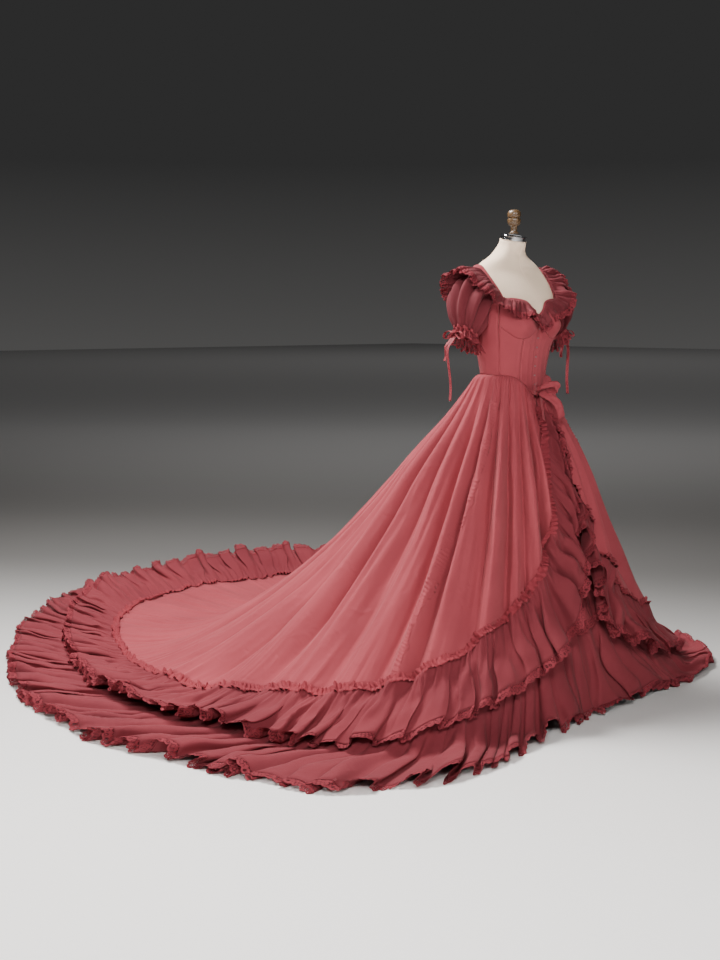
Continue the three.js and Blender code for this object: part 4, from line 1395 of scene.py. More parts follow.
@dataclass
class Sleeves:
    """Short puffed sleeves with a lace frill and a ribbon tied round each cuff."""

    gathers: int = 10
    columns: int = 196
    rows: int = 34
    cloth: float = 0.0012
    outside: tuple = ((0.150, 0.006, 1.386), (0.222, 0.006, 1.408), (0.286, 0.006, 1.350),
                      (0.258, 0.004, 1.232))
    inside: tuple = ((0.1721, 0.004, 1.258), (0.180, 0.004, 1.226), (0.191, 0.004, 1.190))
    depth: Table = field(default_factory=lambda: Table(
        (0, 0.25, 0.6, 0.85, 1), {"depth": (0.064, 0.068, 0.068, 0.054, 0.035)}))
    lace: LaceEdge = field(default_factory=lambda: LaceEdge(thickness=0.0008, rows=10))
    frill_drop: float = 0.039
    knot: float = 0.006
    ribbon_wide: float = 0.011
    tie_facing: float = math.radians(-8)

    def build(self) -> None:
        """Builds both sleeves, their frills and their ties."""
        for side in Side:
            self.sleeve(side)
            self.frill(side)
            self.tie(side)

    def ring(self, side: Side, down: Array, grown: Array, drop: Array | float = 0.0) -> Array:
        """Points round the sleeve.

        Args:
            side: which arm.
            down: parts of the way down the sleeve, one a row.
            grown: how far the cloth stands off the plain tube.
            drop: how far below the cuff.

        Returns:
            Rows by columns by 3.
        """
        outside, inside = bezier(self.outside, down[:, 0]), bezier(self.inside, down[:, 0])
        centre, half = (outside + inside) / 2, (outside - inside) / 2
        reach = np.linalg.norm(half, axis=1)[:, None]
        a = np.linspace(0, 2 * math.pi, self.columns, endpoint=False)[None, :]
        scale = (1 + grown / reach) * np.cos(a)
        depth = self.depth.at("depth", down)
        x = centre[:, 0:1] + half[:, 0:1] * scale
        y = centre[:, 1:2] + (depth + grown) * np.sin(a)
        z = centre[:, 2:3] + half[:, 2:3] * scale - drop
        return np.stack(np.broadcast_arrays(side.value * x, y, z), axis=-1)

    def folds(self, side: Side, down: Array, part: Array, size: float) -> Array:
        """Gathers that are deep at the armhole and the cuff and round out between them."""
        seed = side.seed + 100
        a = 2 * math.pi * part
        drift = 1.3 * np.sin(a + seed) + 0.8 * np.sin(2 * a + seed) + 1.1 * (down - 0.5) * np.sin(3 * a)
        big = ((1 - np.cos(a * self.gathers + drift)) / 2) ** 0.7 * 2 - 1.1
        mid = np.cos(a * 19 + 1.7 * drift)
        fine = np.cos(a * 41 + 2.2 * np.sin(2 * a + seed))
        to_cuff = smooth(down, 0.45, 1.0)
        to_top = 1 - smooth(down, 0.0, 0.4)
        return size * (2.3 * big * (0.35 + 0.65 * smooth(down, 0, 0.35)) * (1 - 0.45 * to_cuff)
                       + 0.5 * mid * (0.35 + 0.65 * to_cuff + 0.5 * to_top)
                       + 0.30 * fine * (to_cuff**2 + to_top**2))

    def sleeve(self, side: Side) -> Mesh:
        """The puffed sleeve itself."""
        down = np.linspace(0, 1, self.rows)[:, None]
        part = np.linspace(0, 1, self.columns, endpoint=False)[None, :]
        body = np.sin(down * math.pi) ** 0.5
        grown = self.folds(side, down, part, 0.0066) * (0.40 + 0.60 * body) - 0.003
        grown = grown + 0.002 * noise(side.seed + 61, part * 12, down * 3) * body
        points = self.ring(side, down, grown)
        # The sleeve takes the darkest cotton: painted shade of its folds and of the ruffle above it.
        return sewn(f"puff_sleeve_{side.word}", points, self.cloth, SHIRRED_PAINTED_SHADE, loop=True,
                    nodes=[f"sleeve_{side.word}"], fullness=1.25,
                    rests_on=[f"bodice_side_panel_{side.word}", f"bodice_strap_{side.word}"])

    def frill(self, side: Side) -> Mesh:
        """The lace frill below the cuff."""
        part = np.linspace(0, 1, self.columns, endpoint=False)[None, :]
        down = np.linspace(0, 1, self.lace.rows)[:, None]
        a = 2 * math.pi * part
        drift = 1.2 * np.sin(a + side.seed) + 0.8 * np.sin(2 * a)
        wave = np.cos(a * 8) * 0.45 + 0.8 * np.cos(a * 17 + drift)
        grown = 0.0198 * down**1.2 + (0.0032 + 0.0075 * down) * wave
        drop = 0.0009 + self.frill_drop * down
        points = self.ring(side, np.ones_like(down), grown, drop)
        uv = self.lace.uv(points, loop=True)
        return sewn(f"cuff_lace_{side.word}", points, self.lace.thickness, LACE, loop=True, uv=uv,
                    nodes=[f"cuff_frill_{side.word}"], fullness=1.2, rests_on=[f"puff_sleeve_{side.word}"])

    def tie(self, side: Side) -> None:
        """The ribbon round the cuff: a knot, two loops and two tails."""
        outside, inside = np.array(self.outside[-1]), np.array(self.inside[-1])
        centre, half = (outside + inside) / 2, (outside[0] - inside[0]) / 2
        knot, wide = self.knot, self.ribbon_wide
        spot = np.array([math.cos(self.tie_facing), -math.sin(self.tie_facing), 0.0])
        cuff = 1 / math.hypot(spot[0] / half, spot[1] / self.depth.columns["depth"][-1])
        knot_at = centre + spot * (cuff + self.cloth + 0.001 + knot)
        sideways = np.array([-spot[1], spot[0], 0.0])
        mirror = np.array([side.value, 1.0, 1.0])

        def place(out: float, along: float, up: float) -> Array:
            """A point by its distances from the knot."""
            return (knot_at + spot * out + sideways * along + np.array([0, 0, up])) * mirror

        across = np.array([side.value * spot[0], spot[1], 0.0])
        band = np.linspace(0, 1, self.columns, endpoint=False)[None, :]
        hug = np.cos(2 * math.pi * band * self.gathers) * 0.0042 + 0.0022
        rows = np.linspace(-0.0055, 0.0055, 5)[:, None]
        cuff_band = self.ring(side, np.ones_like(rows), hug, rows)
        sewn(f"cuff_ribbon_{side.word}", cuff_band, RIBBON_CLOTH, RIBBON, loop=True,
             held="stretched", rests_on=[f"puff_sleeve_{side.word}"])
        tie_knot(f"cuff_knot_{side.word}", place(0, 0, 0), (knot, knot, knot), [f"tie_knot_{side.word}"])
        start = knot + 0.0006
        for end, hand in (("fore", -1), ("aft", 1)):
            loop = [place(0.004 + along * 0.14, hand * along, up - along * 0.1) for along, up in (
                (start, 0.001), (0.022, 0.009), (0.040, 0.005), (0.045, -0.007), (0.036, -0.014),
                (0.020, -0.008))]
            ribbon(f"cuff_loop_{end}_{side.word}", loop, across, wide, [f"tie_loop_{end}_{side.word}"],
                   [f"cuff_knot_{side.word}"], loop=True)
        for end, along, length in (("fore", -0.008, 0.205), ("aft", 0.009, 0.080)):
            points = []
            for part in np.linspace(0, 1, 6):
                drop = part * length
                out = 0.003 + 0.030 * float(smooth(drop, 0, 0.044)) + 0.005 * math.sin(part * 6)
                points.append(place(out, along * (0.7 + part), -knot - 0.0006 - drop))
            ribbon(f"cuff_tail_{end}_{side.word}", points, np.array([across[1], -across[0], 0.0]), wide,
                   [f"tie_tail_{end}_{side.word}"], [f"cuff_knot_{side.word}"])


def tie_knot(name: str, centre: Array, radii: tuple[float, float, float], nodes: Sequence[str]) -> Mesh:
    """A knot of ribbon: a rounded wrap with folds across it.

    Args:
        name: the piece's name.
        centre: its middle.
        radii: its half sizes.
        nodes: CAD nodes that it stands for.

    Returns:
        The piece.
    """
    deselect()
    bpy.ops.mesh.primitive_uv_sphere_add(segments=48, ring_count=28, radius=1.0, location=(0, 0, 0))
    piece = bpy.context.active_object
    piece.name = name
    for vertex in piece.data.vertices:
        x, y, z = vertex.co
        folds = 0.05 * math.cos(9 * x + 2 * z) * (1 - abs(z))
        size = 1 - folds - 0.06 * math.exp(-((z - 0.1) / 0.12) ** 2)
        vertex.co = Vector((x * radii[0], y * radii[1], z * radii[2])) * size + Vector(centre)
    bpy.ops.object.shade_smooth()
    deselect()
    return dress(piece, RIBBON, nodes)


def ribbon(name: str, points: Sequence[Array], across: Array, width: float, nodes: Sequence[str],
           rests_on: Sequence[str], loop: bool = False, finish: Finish = RIBBON, side: Side | None = None,
           curl: float = 0.06, crumple: float = 0.0) -> Mesh:
    """A flat ribbon along a path.

    Args:
        name: the piece's name.
        points: the path's points.
        across: the direction of the ribbon's width.
        width: its width.
        nodes: CAD nodes that it stands for.
        rests_on: what it is tied to.
        loop: whether it closes on itself.
        finish: what it is made of.
        side: the side of the middle that it stays on, or none.
        curl: how far its middle bows, as a part of its width.
        crumple: how far its creases stand off it, as a part of its width.

    Returns:
        The piece.
    """
    count = 56
    path = spline(points, count, loop)
    way = unit(np.asarray(across, float))
    tangent = np.roll(path, -1, axis=0) - np.roll(path, 1, axis=0) if loop else np.gradient(path, axis=0)
    off = unit(np.cross(tangent, way))
    half = np.linspace(-0.5, 0.5, 7)[:, None]
    bow = curl * width * (1 - 4 * half**2) * (1 + 0.6 * np.sin(np.linspace(0, 9, count))[None])
    place = np.linspace(0, 1, count, endpoint=not loop)[None]
    ends = np.sin(math.pi * place) ** 0.7
    creases = noise(51, half * 7 + 3, 6 * ends) + 0.6 * noise(52, half * 14, 11 * ends)
    bow = bow + crumple * width * creases * ends
    grid = path[None] + way * (half * width)[..., None] + off[None] * bow[..., None]
    if side is not None:
        keep_to(side, grid, 0.0004)
    return sewn(name, grid, RIBBON_CLOTH, finish, nodes=nodes, loop=loop,
                held="folded" if loop else "hung", rests_on=rests_on)


# ---------------------------------------------------------------- the skirts' slope


# For each turn: two points that the slope is drawn towards, where it lands, and where the hem lies.
SLOPE = Table((0, 40, 70, 105, 140, 160, 180), {
    "hip_out": (0.197, 0.202, 0.225, 0.266, 0.304, 0.306, 0.308),
    "hip_up": (0.690, 0.700, 0.730, 0.760, 0.770, 0.775, 0.775),
    "calf_out": (0.245, 0.250, 0.412, 0.615, 0.765, 0.805, 0.825),
    "calf_up": (0.330, 0.330, 0.260, 0.160, 0.060, 0.045, 0.040),
    "lands": (0.345, 0.485, 0.735, 1.010, 1.400, 1.500, 1.550),
    "hem": (0.360, 0.515, 0.975, 1.275, 1.790, 2.160, 2.420),
})
# The overskirt's edge: how far down it lies, and its flounce's slant in degrees and width.
EDGE_TURNS = (7, 14, 19, 25, 33, 46, 60, 76, 92)
EDGE_ALONG = (0.040, 0.150, 0.320, 0.480, 0.625, 0.735, 0.845, 1.000, 1.120)
EDGE_SLANT = (48, 44, 36, 30, 24, 12, 4, 0, 0)
EDGE_WIDTH = (0.105, 0.145, 0.170, 0.190, 0.215, 0.250, 0.265, 0.265, 0.265)


def edge_table(turns: tuple[float, ...], along: tuple[float, ...]) -> Table:
    """The overskirt's lower edge: the front that both sides share, and the rest of one side."""
    rest = len(turns)
    return Table(EDGE_TURNS + turns, {
        "along": EDGE_ALONG + along,
        "slant": EDGE_SLANT + (0,) * rest,
        "width": EDGE_WIDTH + (0.265,) * rest,
    })


EDGES = {
    Side.RIGHT: edge_table((108, 122, 140, 152, 164, 173, 180),
                           (1.230, 1.400, 1.625, 1.840, 2.100, 2.270, 2.320)),
    Side.LEFT: edge_table((108, 122, 140, 157, 168, 180), (1.270, 1.500, 1.905, 2.225, 2.350, 2.320)),
}
# How far the lower hem swings out past its place.
SWING = {
    Side.RIGHT: Table((0, 15, 45, 80, 105, 125, 150, 165, 180), {
        "out": (0.03, 0.05, 0.05, 0.045, 0.04, 0.050, -0.030, -0.03, 0.0)}),
    Side.LEFT: Table((0, 20, 45, 75, 105, 130, 180), {"out": (0.03, 0.04, -0.04, -0.110, -0.080, 0.0, 0.0)}),
}
UNDER_EDGE = Table((0, 22, 40, 60), {"along": (0.700, 0.722, 0.850, 1.015)})


class SkirtSlope:
    """The sloping surface that the skirts are laid out on."""

    step = 0.005
    reach = 3.3
    waist_ease = 0.0062
    flounce_seam = 0.00193
    flounce_overlap = 0.095
    opening_turn = 7.0
    span = 180 - opening_turn
    pleats = 15
    middle_gap = 0.0003
    edge_gap = 0.00015
    top_gap = 0.0004

    def __init__(self, figure: Figure) -> None:
        """Works the surface out for each degree of turn.

        Args:
            figure: the figure that the waist lies on.
        """
        turns = np.arange(0.0, 181.0)
        self.marks = np.arange(0.0, self.reach, self.step)
        out, up, landed = [], [], []
        for turn in turns:
            waist = float(figure.waist(turn))
            size = {key: float(SLOPE.at(key, turn)) for key in SLOPE.columns}
            curve = bezier(((float(figure.radius(turn, waist)) + self.waist_ease, waist),
                            (size["hip_out"], size["hip_up"]), (size["calf_out"], size["calf_up"]),
                            (size["lands"], 0.0)), np.linspace(0, 1, 500))
            lengths = lengths_along(curve)
            past = np.maximum(self.marks - lengths[-1], 0)
            out.append(np.interp(self.marks, lengths, curve[:, 0]) + past)
            up.append(np.interp(self.marks, lengths, curve[:, 1]))
            landed.append(lengths[-1])
        self.landed = np.array(landed)
        self.hem = self.landed + SLOPE.at("hem", turns) - SLOPE.at("lands", turns)
        self.out, self.up = self.rounded(np.array(out)), self.rounded(np.array(up))
        way = unit(np.stack([np.gradient(self.out, axis=1), np.gradient(self.up, axis=1)], axis=-1))
        self.off_out, self.off_up = -way[..., 1], way[..., 0]

    @staticmethod
    def rounded(values: Array) -> Array:
        """Rounds the corner where the slope meets the floor."""
        wide, fixed = 13, 12
        kernel = np.ones(wide) / wide
        padded = [np.pad(row, wide // 2, mode="edge") for row in values]
        soft = np.stack([np.convolve(row, kernel, "valid") for row in padded])
        soft[:, :fixed] = values[:, :fixed]
        soft[:, -fixed:] = values[:, -fixed:]
        return soft

    def read(self, field_values: Array, turn: Array, along: Array) -> Array:
        """Reads one of the surface's values between its marks."""
        t = np.clip(np.abs(turn), 0, 179.999)
        a = np.clip(along / self.step, 0, len(self.marks) - 1.001)
        i, j = np.floor(t).astype(int), np.floor(a).astype(int)
        u, v = t - i, a - j
        near = mix(field_values[i, j], field_values[i, j + 1], v)
        return mix(near, mix(field_values[i + 1, j], field_values[i + 1, j + 1], v), u)

    def landed_at(self, turn: Array) -> Array:
        """How far down the slope the floor begins."""
        return np.interp(np.abs(turn), np.arange(181.0), self.landed)

    def hem_at(self, turn: Array) -> Array:
        """How far down the slope the lower hem lies."""
        return np.interp(np.abs(turn), np.arange(181.0), self.hem)

    def point(self, turn: Array, along: Array, lift: Array) -> Array:
        """Points on the slope, lifted off it.

        Args:
            turn: degrees round the figure, positive to the wearer's left.
            along: distance down the slope.
            lift: distance off it.

        Returns:
            The points.
        """
        turn, along, lift = np.broadcast_arrays(*(np.asarray(v, float) for v in (turn, along, lift)))
        out = self.read(self.out, turn, along) + self.read(self.off_out, turn, along) * lift
        up = self.read(self.up, turn, along) + self.read(self.off_up, turn, along) * lift
        a = np.radians(turn)
        return np.stack([out * np.sin(a), -out * np.cos(a), up], axis=-1)

    def edge(self, side: Side, turn: Array) -> Array:
        """How far down the overskirt's lower edge lies."""
        return EDGES[side].at("along", turn)

    def reach_at(self, side: Side, turn: Array) -> Array:
        """How much of a flounce's width shows in plan, where the flounces are pushed together."""
        full = 0.5
        return np.where(turn < 100, 1.0, np.minimum(1.0, (self.hem_at(turn) - self.edge(side, turn)) / full))

    def apart(self, turn: Array) -> Array:
        """0 where the two halves meet at the centre back, 1 past their seam."""
        return smooth(180 - turn, 0.0, 2.4)

    def edge_marks(self, side: Side, from_turn: float, count: int, line: Callable | None = None) -> Array:
        """Turns that are evenly spaced in length along the overskirt's edge, or along another line."""
        fine = np.linspace(from_turn, LAST_TURN, 700)
        lengths = lengths_along(self.point(fine, (line or self.edge)(side, fine), 0.0))
        return np.interp(np.linspace(0, lengths[-1], count), lengths, fine)

    def turn_at(self, side: Side, from_turn: float, part: Array, line: Callable | None = None) -> Array:
        """The turn at each part of the way along such a line."""
        marks = self.edge_marks(side, from_turn, MARKS, line)
        return np.interp(np.clip(part, 0, 1), np.linspace(0, 1, MARKS), marks)

    def laid(self, side: Side, turn: Array, along: Array, lift: Array) -> Array:
        """Points of a skirt's half, which keeps to its own side of the middle."""
        return keep_to(side, self.point(side.value * turn, along, lift), self.middle_gap)

    def rows_down(self, share: Array, to: Array) -> Array:
        """How far down each row of a skirt lies, clear of the waist seam and of the flounce below."""
        return np.maximum(share * (to - self.edge_gap), self.top_gap)

    def under_edge(self, side: Side, turn: Array) -> Array:
        """How far down the lower flounce is gathered on."""
        covered = EDGES[side].at("width", turn) - self.flounce_overlap
        behind = self.edge(side, turn) + covered * (0.25 + 0.75 * self.reach_at(side, turn))
        return np.where(turn < 60, UNDER_EDGE.at("along", turn), behind)


# ---------------------------------------------------------------- the overskirt


@dataclass
class Overskirt:
    """The pleated overskirt, open down the front, with its train."""

    slope: SkirtSlope
    columns: int = 520
    rows: int = 58
    cloth: float = 0.0012
    waist_gathers: int = 47
    side_folds: int = 30
    pleat_depth: float = 0.0450
    seam_columns: int = 330
    seam_puckers: int = 74
    seam_half: float = 0.014
    seam_rise: float = 0.0042

    def plain_lift(self, turn: Array, along: Array) -> Array:
        """How far the cloth stands off the slope between its folds."""
        opening = 1 - smooth(turn, 34, 62)
        at_waist = -0.0040 + 0.0075 * smooth(along, 0.002, 0.018) + 0.0034 * smooth(along, 0, 0.150)
        return at_waist + 0.024 * opening * smooth(along, 0.040, 0.320)

    def pleat(self, side: Side, turn: Array, along: Array) -> Array:
        """Height of the deep unpressed pleats, 0 to 1, broad on top with narrow troughs."""
        part = (turn - self.slope.opening_turn) / self.slope.span
        x = 2 * math.pi * self.slope.pleats * part
        wander = 1.7 * noise(side.seed + 200, part * 13, along * 0.7) * smooth(along, 0.03, 0.6)
        size = 1 - 0.3 * (1 + np.sin(1.7 * x / (2 * math.pi) * 2.399 + side.value)) / 2
        size = size * (1 + 0.40 * noise(side.seed + 201, part * 14, along * 1.3))
        crest = ((1 - np.cos(x + wander)) / 2) ** (0.55 + 0.25 * noise(side.seed + 202, part * 8))
        return size * crest

    def small_folds(self, side: Side, turn: Array, along: Array) -> Array:
        """Folds that start and end part of the way down, each with a place of its own."""
        rng = np.random.default_rng(side.seed + 300)
        total = np.zeros(np.broadcast(turn, along).shape)
        for k in range(self.side_folds):
            at = self.slope.opening_turn + (k + rng.uniform(0.1, 0.9)) * (self.slope.span / self.side_folds)
            start, length = rng.uniform(0.0, 0.5), rng.uniform(0.35, 1.1)
            width, height, drift = rng.uniform(0.9, 2.0), rng.uniform(-0.016, 0.014), rng.uniform(-4, 4)
            across = (turn - at - drift * (along - start)) / width
            total = total + height * np.exp(-across**2) * smooth(along, start, start + 0.25) * (
                1 - smooth(along, start + length, start + length + 0.4))
        return total

    def train_creases(self, side: Side, turn: Array, along: Array) -> Array:
        """Fine creases that fan out over the train where it lies on the floor."""
        landed = self.slope.landed_at(turn)
        on_floor = smooth(along, landed - 0.55, landed - 0.05)
        fan = noise(side.seed + 400, turn * 0.62, along * 0.8)
        fan = fan + 0.6 * noise(side.seed + 401, turn * 1.3, along * 1.7)
        sharp = np.maximum(0, 1 - np.abs(fan) * 3.0)
        return on_floor * (0.0095 * sharp + 0.0100 * noise(side.seed + 402, turn * 0.38, along * 1.6))

    def seam_turn(self, along: Array) -> Array:
        """Where the joining seam on each side of the skirt runs."""
        return mix(70.0, 81.0, smooth(along, 0.05, 0.9)) + 0.8 * np.sin(along * 9)

    def pucker(self, side: Side, turn: Array, along: Array) -> Array:
        """How the cloth draws up beside that seam."""
        across = (turn - self.seam_turn(along)) / mix(5.0, 2.2, smooth(along, 0.1, 0.6))
        band = np.exp(-across**2) * smooth(along, 0.07, 0.16)
        return band * 0.0064 * noise(side.seed + 500, along * 14 + 1.2 * across, across * 0.9)

    def seam(self, side: Side) -> Mesh:
        """The seam itself: a narrow strip that its stitches pucker, laid over the pleats."""
        slope, puckers = self.slope, self.seam_puckers
        part = np.linspace(0, 1, self.seam_columns)[None, :]
        along = mix(0.09, float(slope.edge(side, self.seam_turn(1.0))) - 0.02, part)
        turn = self.seam_turn(along)
        radius = np.linalg.norm(slope.point(turn, along, 0.0)[..., :2], axis=-1)
        across = np.linspace(-1, 1, 9)[:, None]
        edge, gathers = np.abs(across), Gathers(puckers, side.seed + 90, 0.7, 0.9)
        wide = self.seam_half * across * (1 + 0.3 * noise(side.seed + 91, part * puckers * 0.4, across))
        moved = turn + np.degrees(wide / radius)
        rise = gathers.height(part + across * 0.4 / puckers) * self.seam_rise * np.sin(math.pi * edge**0.8)
        points = slope.point(side.value * moved, along, self.lift(side, moved, along) + 0.0003 + rise)
        return sewn(f"skirt_seam_{side.word}", points, 0.0008, COTTON, fullness=GATHERED,
                    rests_on=[f"skirt_over_{side.word}"])

    def lift(self, side: Side, turn: Array, along: Array) -> Array:
        """Height of the cloth off the slope, with all its folds."""
        landed = self.slope.landed_at(turn)
        depth = (0.0080 * smooth(along, 0.002, 0.024) + self.pleat_depth * smooth(along, 0.01, 0.440)) * (
            1 - 0.90 * smooth(along, landed - 0.62, landed + 0.10))
        around = turn * math.pi * 2 * self.waist_gathers / self.slope.span
        gather = np.cos(around + 2.5 * noise(side.seed, turn * 0.2))
        at_waist = smooth(along, 0.0, 0.010) * (1 - smooth(along, 0.05, 0.24))
        wave = depth * self.pleat(side, turn, along)
        rumple = 0.0024 * noise(side.seed + 600, turn * 0.9, along * 7) * smooth(along, 0.15, 0.5)
        plain = self.plain_lift(turn, along)
        lift = (plain + wave + self.small_folds(side, turn, along) + self.train_creases(side, turn, along)
                + self.pucker(side, turn, along) + 0.0016 * gather * at_waist + rumple)
        lift = mix(plain + 0.35 * depth, lift, self.slope.apart(turn))
        return np.maximum(lift, -0.0040 + 0.0067 * smooth(along, 0.002, 0.03))

    def build(self) -> None:
        """Builds both sides."""
        slope = self.slope
        for side in Side:
            turn = slope.edge_marks(side, slope.opening_turn, self.columns)[None, :]
            share = np.linspace(0, 1, self.rows)[:, None] ** 1.15
            along = slope.rows_down(share, slope.edge(side, turn))
            points = slope.laid(side, turn, along, self.lift(side, turn, along))
            sewn(f"skirt_over_{side.word}", points, self.cloth, COTTON,
                 nodes=[f"overskirt_{side.word}"], fullness=1.12, width=2.36,
                 rests_on=[f"skirt_under_{side.word}"])
            self.seam(side)


@dataclass
class Underskirt:
    """The plain underskirt below everything."""

    slope: SkirtSlope
    columns: int = 101
    rows: int = 24
    cloth: float = 0.0012

    def build(self) -> None:
        """Builds both sides."""
        slope = self.slope
        for side in Side:
            turn = slope.edge_marks(side, 0.1, self.columns)[None, :]
            share = np.linspace(0, 1, self.rows)[:, None]
            along = slope.rows_down(share, slope.under_edge(side, turn))
            free = smooth(along, 0.05, 0.4) * (1 - smooth(turn, 28, 45))
            soft = 0.0018 * noise(side.seed + 700, turn * 0.25, along * 2.0) * free
            tucked = -0.0064 * (1 - smooth(along, 0.002, 0.06))
            points = slope.laid(side, turn, along, 0.001 + tucked + np.maximum(soft, -0.0004))
            sewn(f"skirt_under_{side.word}", points, self.cloth, LINING,
                 nodes=[f"underskirt_{side.word}"], held="hung", width=2.4, rests_on=["form_torso"])


# ---------------------------------------------------------------- flounces


@dataclass
class GatheredTrim:
    """The shirred strip that covers the seam of a flounce: two crinkled edges and a stitched middle."""

    width: float = 0.029
    crinkle: float = 0.0125
    pitch: float = 0.0165
    columns_a_crinkle: int = 6
    cloth: float = 0.0006

    def sew(self, name: str, line: Array, off: Array, down: Array, seed: int,
            rests_on: Sequence[str]) -> Mesh:
        """Makes the strip along a line.

        Args:
            name: the piece's name.
            line: points of its stitched middle.
            off: direction off the cloth at each point.
            down: direction across the strip at each point.
            seed: which random crinkles.
            rests_on: what it is sewn to.

        Returns:
            The piece.
        """
        lengths = lengths_along(line)
        crinkles = lengths[-1] / self.pitch
        columns = int(crinkles * self.columns_a_crinkle)
        even = np.linspace(0, lengths[-1], columns)
        middle, off, down = (read_line(even, lengths, values) for values in (line, off, down))
        off, down = unit(off), unit(down)
        tangent = unit(np.gradient(middle, axis=0))
        gathers = Gathers(crinkles, seed, 0.6, 1.0)
        part = np.linspace(0, 1, columns)[None]
        across = np.array([-1.0, -0.7, 0.0, 0.7, 1.0])[:, None]
        edge = np.sin(np.abs(across) * 2.1) / 0.9
        turned_part = part + across * 0.22 / crinkles
        wave = gathers.height(turned_part) * self.crinkle * edge
        lift = 0.0020 + 0.0006 * edge + wave
        lean = gathers.sway(turned_part) * lengths[-1] * edge
        wide = across * self.width / 2 * (1 + 0.35 * noise(seed + 9, part * crinkles * 0.6, across * 2))
        points = (middle[None] + down[None] * wide[..., None] + off[None] * lift[..., None]
                  + tangent[None] * lean[..., None])
        return sewn(name, points, self.cloth, TRIM, fullness=GATHERED, rests_on=rests_on)


@dataclass(kw_only=True)
class UpperFlounce(Ruffle):
    """The flounce round the overskirt's edge, from the bow down the front and round the train."""

    slope: SkirtSlope
    overskirt: Overskirt
    waves: float = 54
    columns: int = 860
    rows: int = 22
    lace_from: float = 0.855
    front_turn: float = 3.0
    middle_gap: float = 0.0006
    cut_width: float = 0.232
    trim: GatheredTrim = field(default_factory=GatheredTrim)

    def surface(self, side: Side, part: Array, down: Array) -> Array:
        """Points of the flounce.

        Args:
            side: which side.
            part: parts of the way along the edge, from the front.
            down: parts of the way from the gathers to the lace's points.

        Returns:
            The points.
        """
        slope = self.slope
        gathers = Gathers(self.waves, side.seed + 40, 0.5, 0.75)
        ruche = Gathers(self.waves * 3.1, side.seed + 50, 0.6, 1.0)
        bend = 0.40 / self.waves * noise(side.seed + 45, part * self.waves * 0.6, down * 1.4)
        bent = np.clip(part + bend * smooth(down, 0.1, 0.9), 0, 1)
        wave = gathers.height(bent)
        sway = gathers.sway(bent) * smooth(down, 0.05, 0.6)
        turn = slope.turn_at(side, slope.opening_turn, part + sway)
        edge = EDGES[side]
        slant = np.radians(edge.at("slant", turn))
        reach = slope.reach_at(side, turn)
        apart = smooth(1 - part, 0, 0.008)
        shorter = 1 - 0.05 * wave + 0.03 * noise(side.seed + 60, part * self.waves * 0.7) * apart
        fall = edge.at("width", turn) * down * shorter + slope.flounce_seam * (1 + 2 * np.sin(slant))
        start = slope.edge(side, turn)
        local = np.linalg.norm(slope.point(turn, start, 0.0)[..., :2], axis=-1)
        sideways = np.degrees(fall * np.sin(slant) / (local + 0.35 * fall))
        near, swung = self.front_turn, turn - sideways
        held = np.where(swung > near, swung, near * np.exp(np.minimum(swung - near, 0) / 14))
        bunched = np.sqrt(np.maximum(0, 1 - reach * reach))
        free = smooth(down, 0, 0.4)
        opening = (1 - smooth(turn, 34, 62)) * smooth(start, 0.040, 0.320)
        seam = self.overskirt.lift(side, turn, start)
        lying = smooth(turn, 55, 100)
        loose = 0.012 + 0.024 * opening + (0.024 - 0.014 * lying) * down
        lift = mix(seam, loose, free) + bunched * fall * 0.4
        crumple = noise(side.seed + 70, part * self.waves * 1.7, down * 3.5) * smooth(down, 0.15, 0.8)
        ridge = ridges(side.seed + 75, bent * self.waves * 1.9, down * 1.5)
        tall = 0.044 + 0.026 * opening
        rough = (1 + 0.9 * opening) * 0.010 * crumple + 0.009 * ridge * smooth(down, 0.05, 0.5)
        lift = lift + tall * down**0.85 * wave + apart * rough
        lift = lift + 0.0090 * ruche.height(part) * smooth(down, 0.01, 0.08) * (1 - smooth(down, 0.25, 1.0))
        along = start + fall * np.cos(slant) * (0.25 + 0.75 * reach)
        return slope.point(side.value * held, along, np.maximum(lift, 0.004))

    def build(self) -> None:
        """Builds the flounce, its lace and its shirred trim on both sides."""
        for side in Side:
            self.sew(("flounce_upper", "flounce_lace_upper", "upper_flounce"), partial(self.surface, side),
                     ["skirt_over"], side)
            self.header(side)

    def header(self, side: Side) -> Mesh:
        """The shirred trim on the flounce's seam."""
        slope = self.slope
        turn = slope.edge_marks(side, slope.opening_turn, 900)
        start = slope.edge(side, turn)

        def at(further: float, higher: float) -> Array:
            """Points on the overskirt, further down than its edge and higher than its cloth."""
            along = start + further
            return slope.point(side.value * turn, along, self.overskirt.lift(side, turn, along) + higher)

        above, line, high = at(-0.010, 0.0), at(0.0, 0.0), at(0.0, 0.01)
        down = unit(np.cross(np.gradient(line, axis=0), high - line)) * side.value
        down = np.where(((line - above) * down).sum(axis=1, keepdims=True) < 0, -down, down)
        return self.trim.sew(f"flounce_trim_{side.word}", line + down * 0.002, high - line, down,
                             side.seed + 80, [f"skirt_over_{side.word}"])


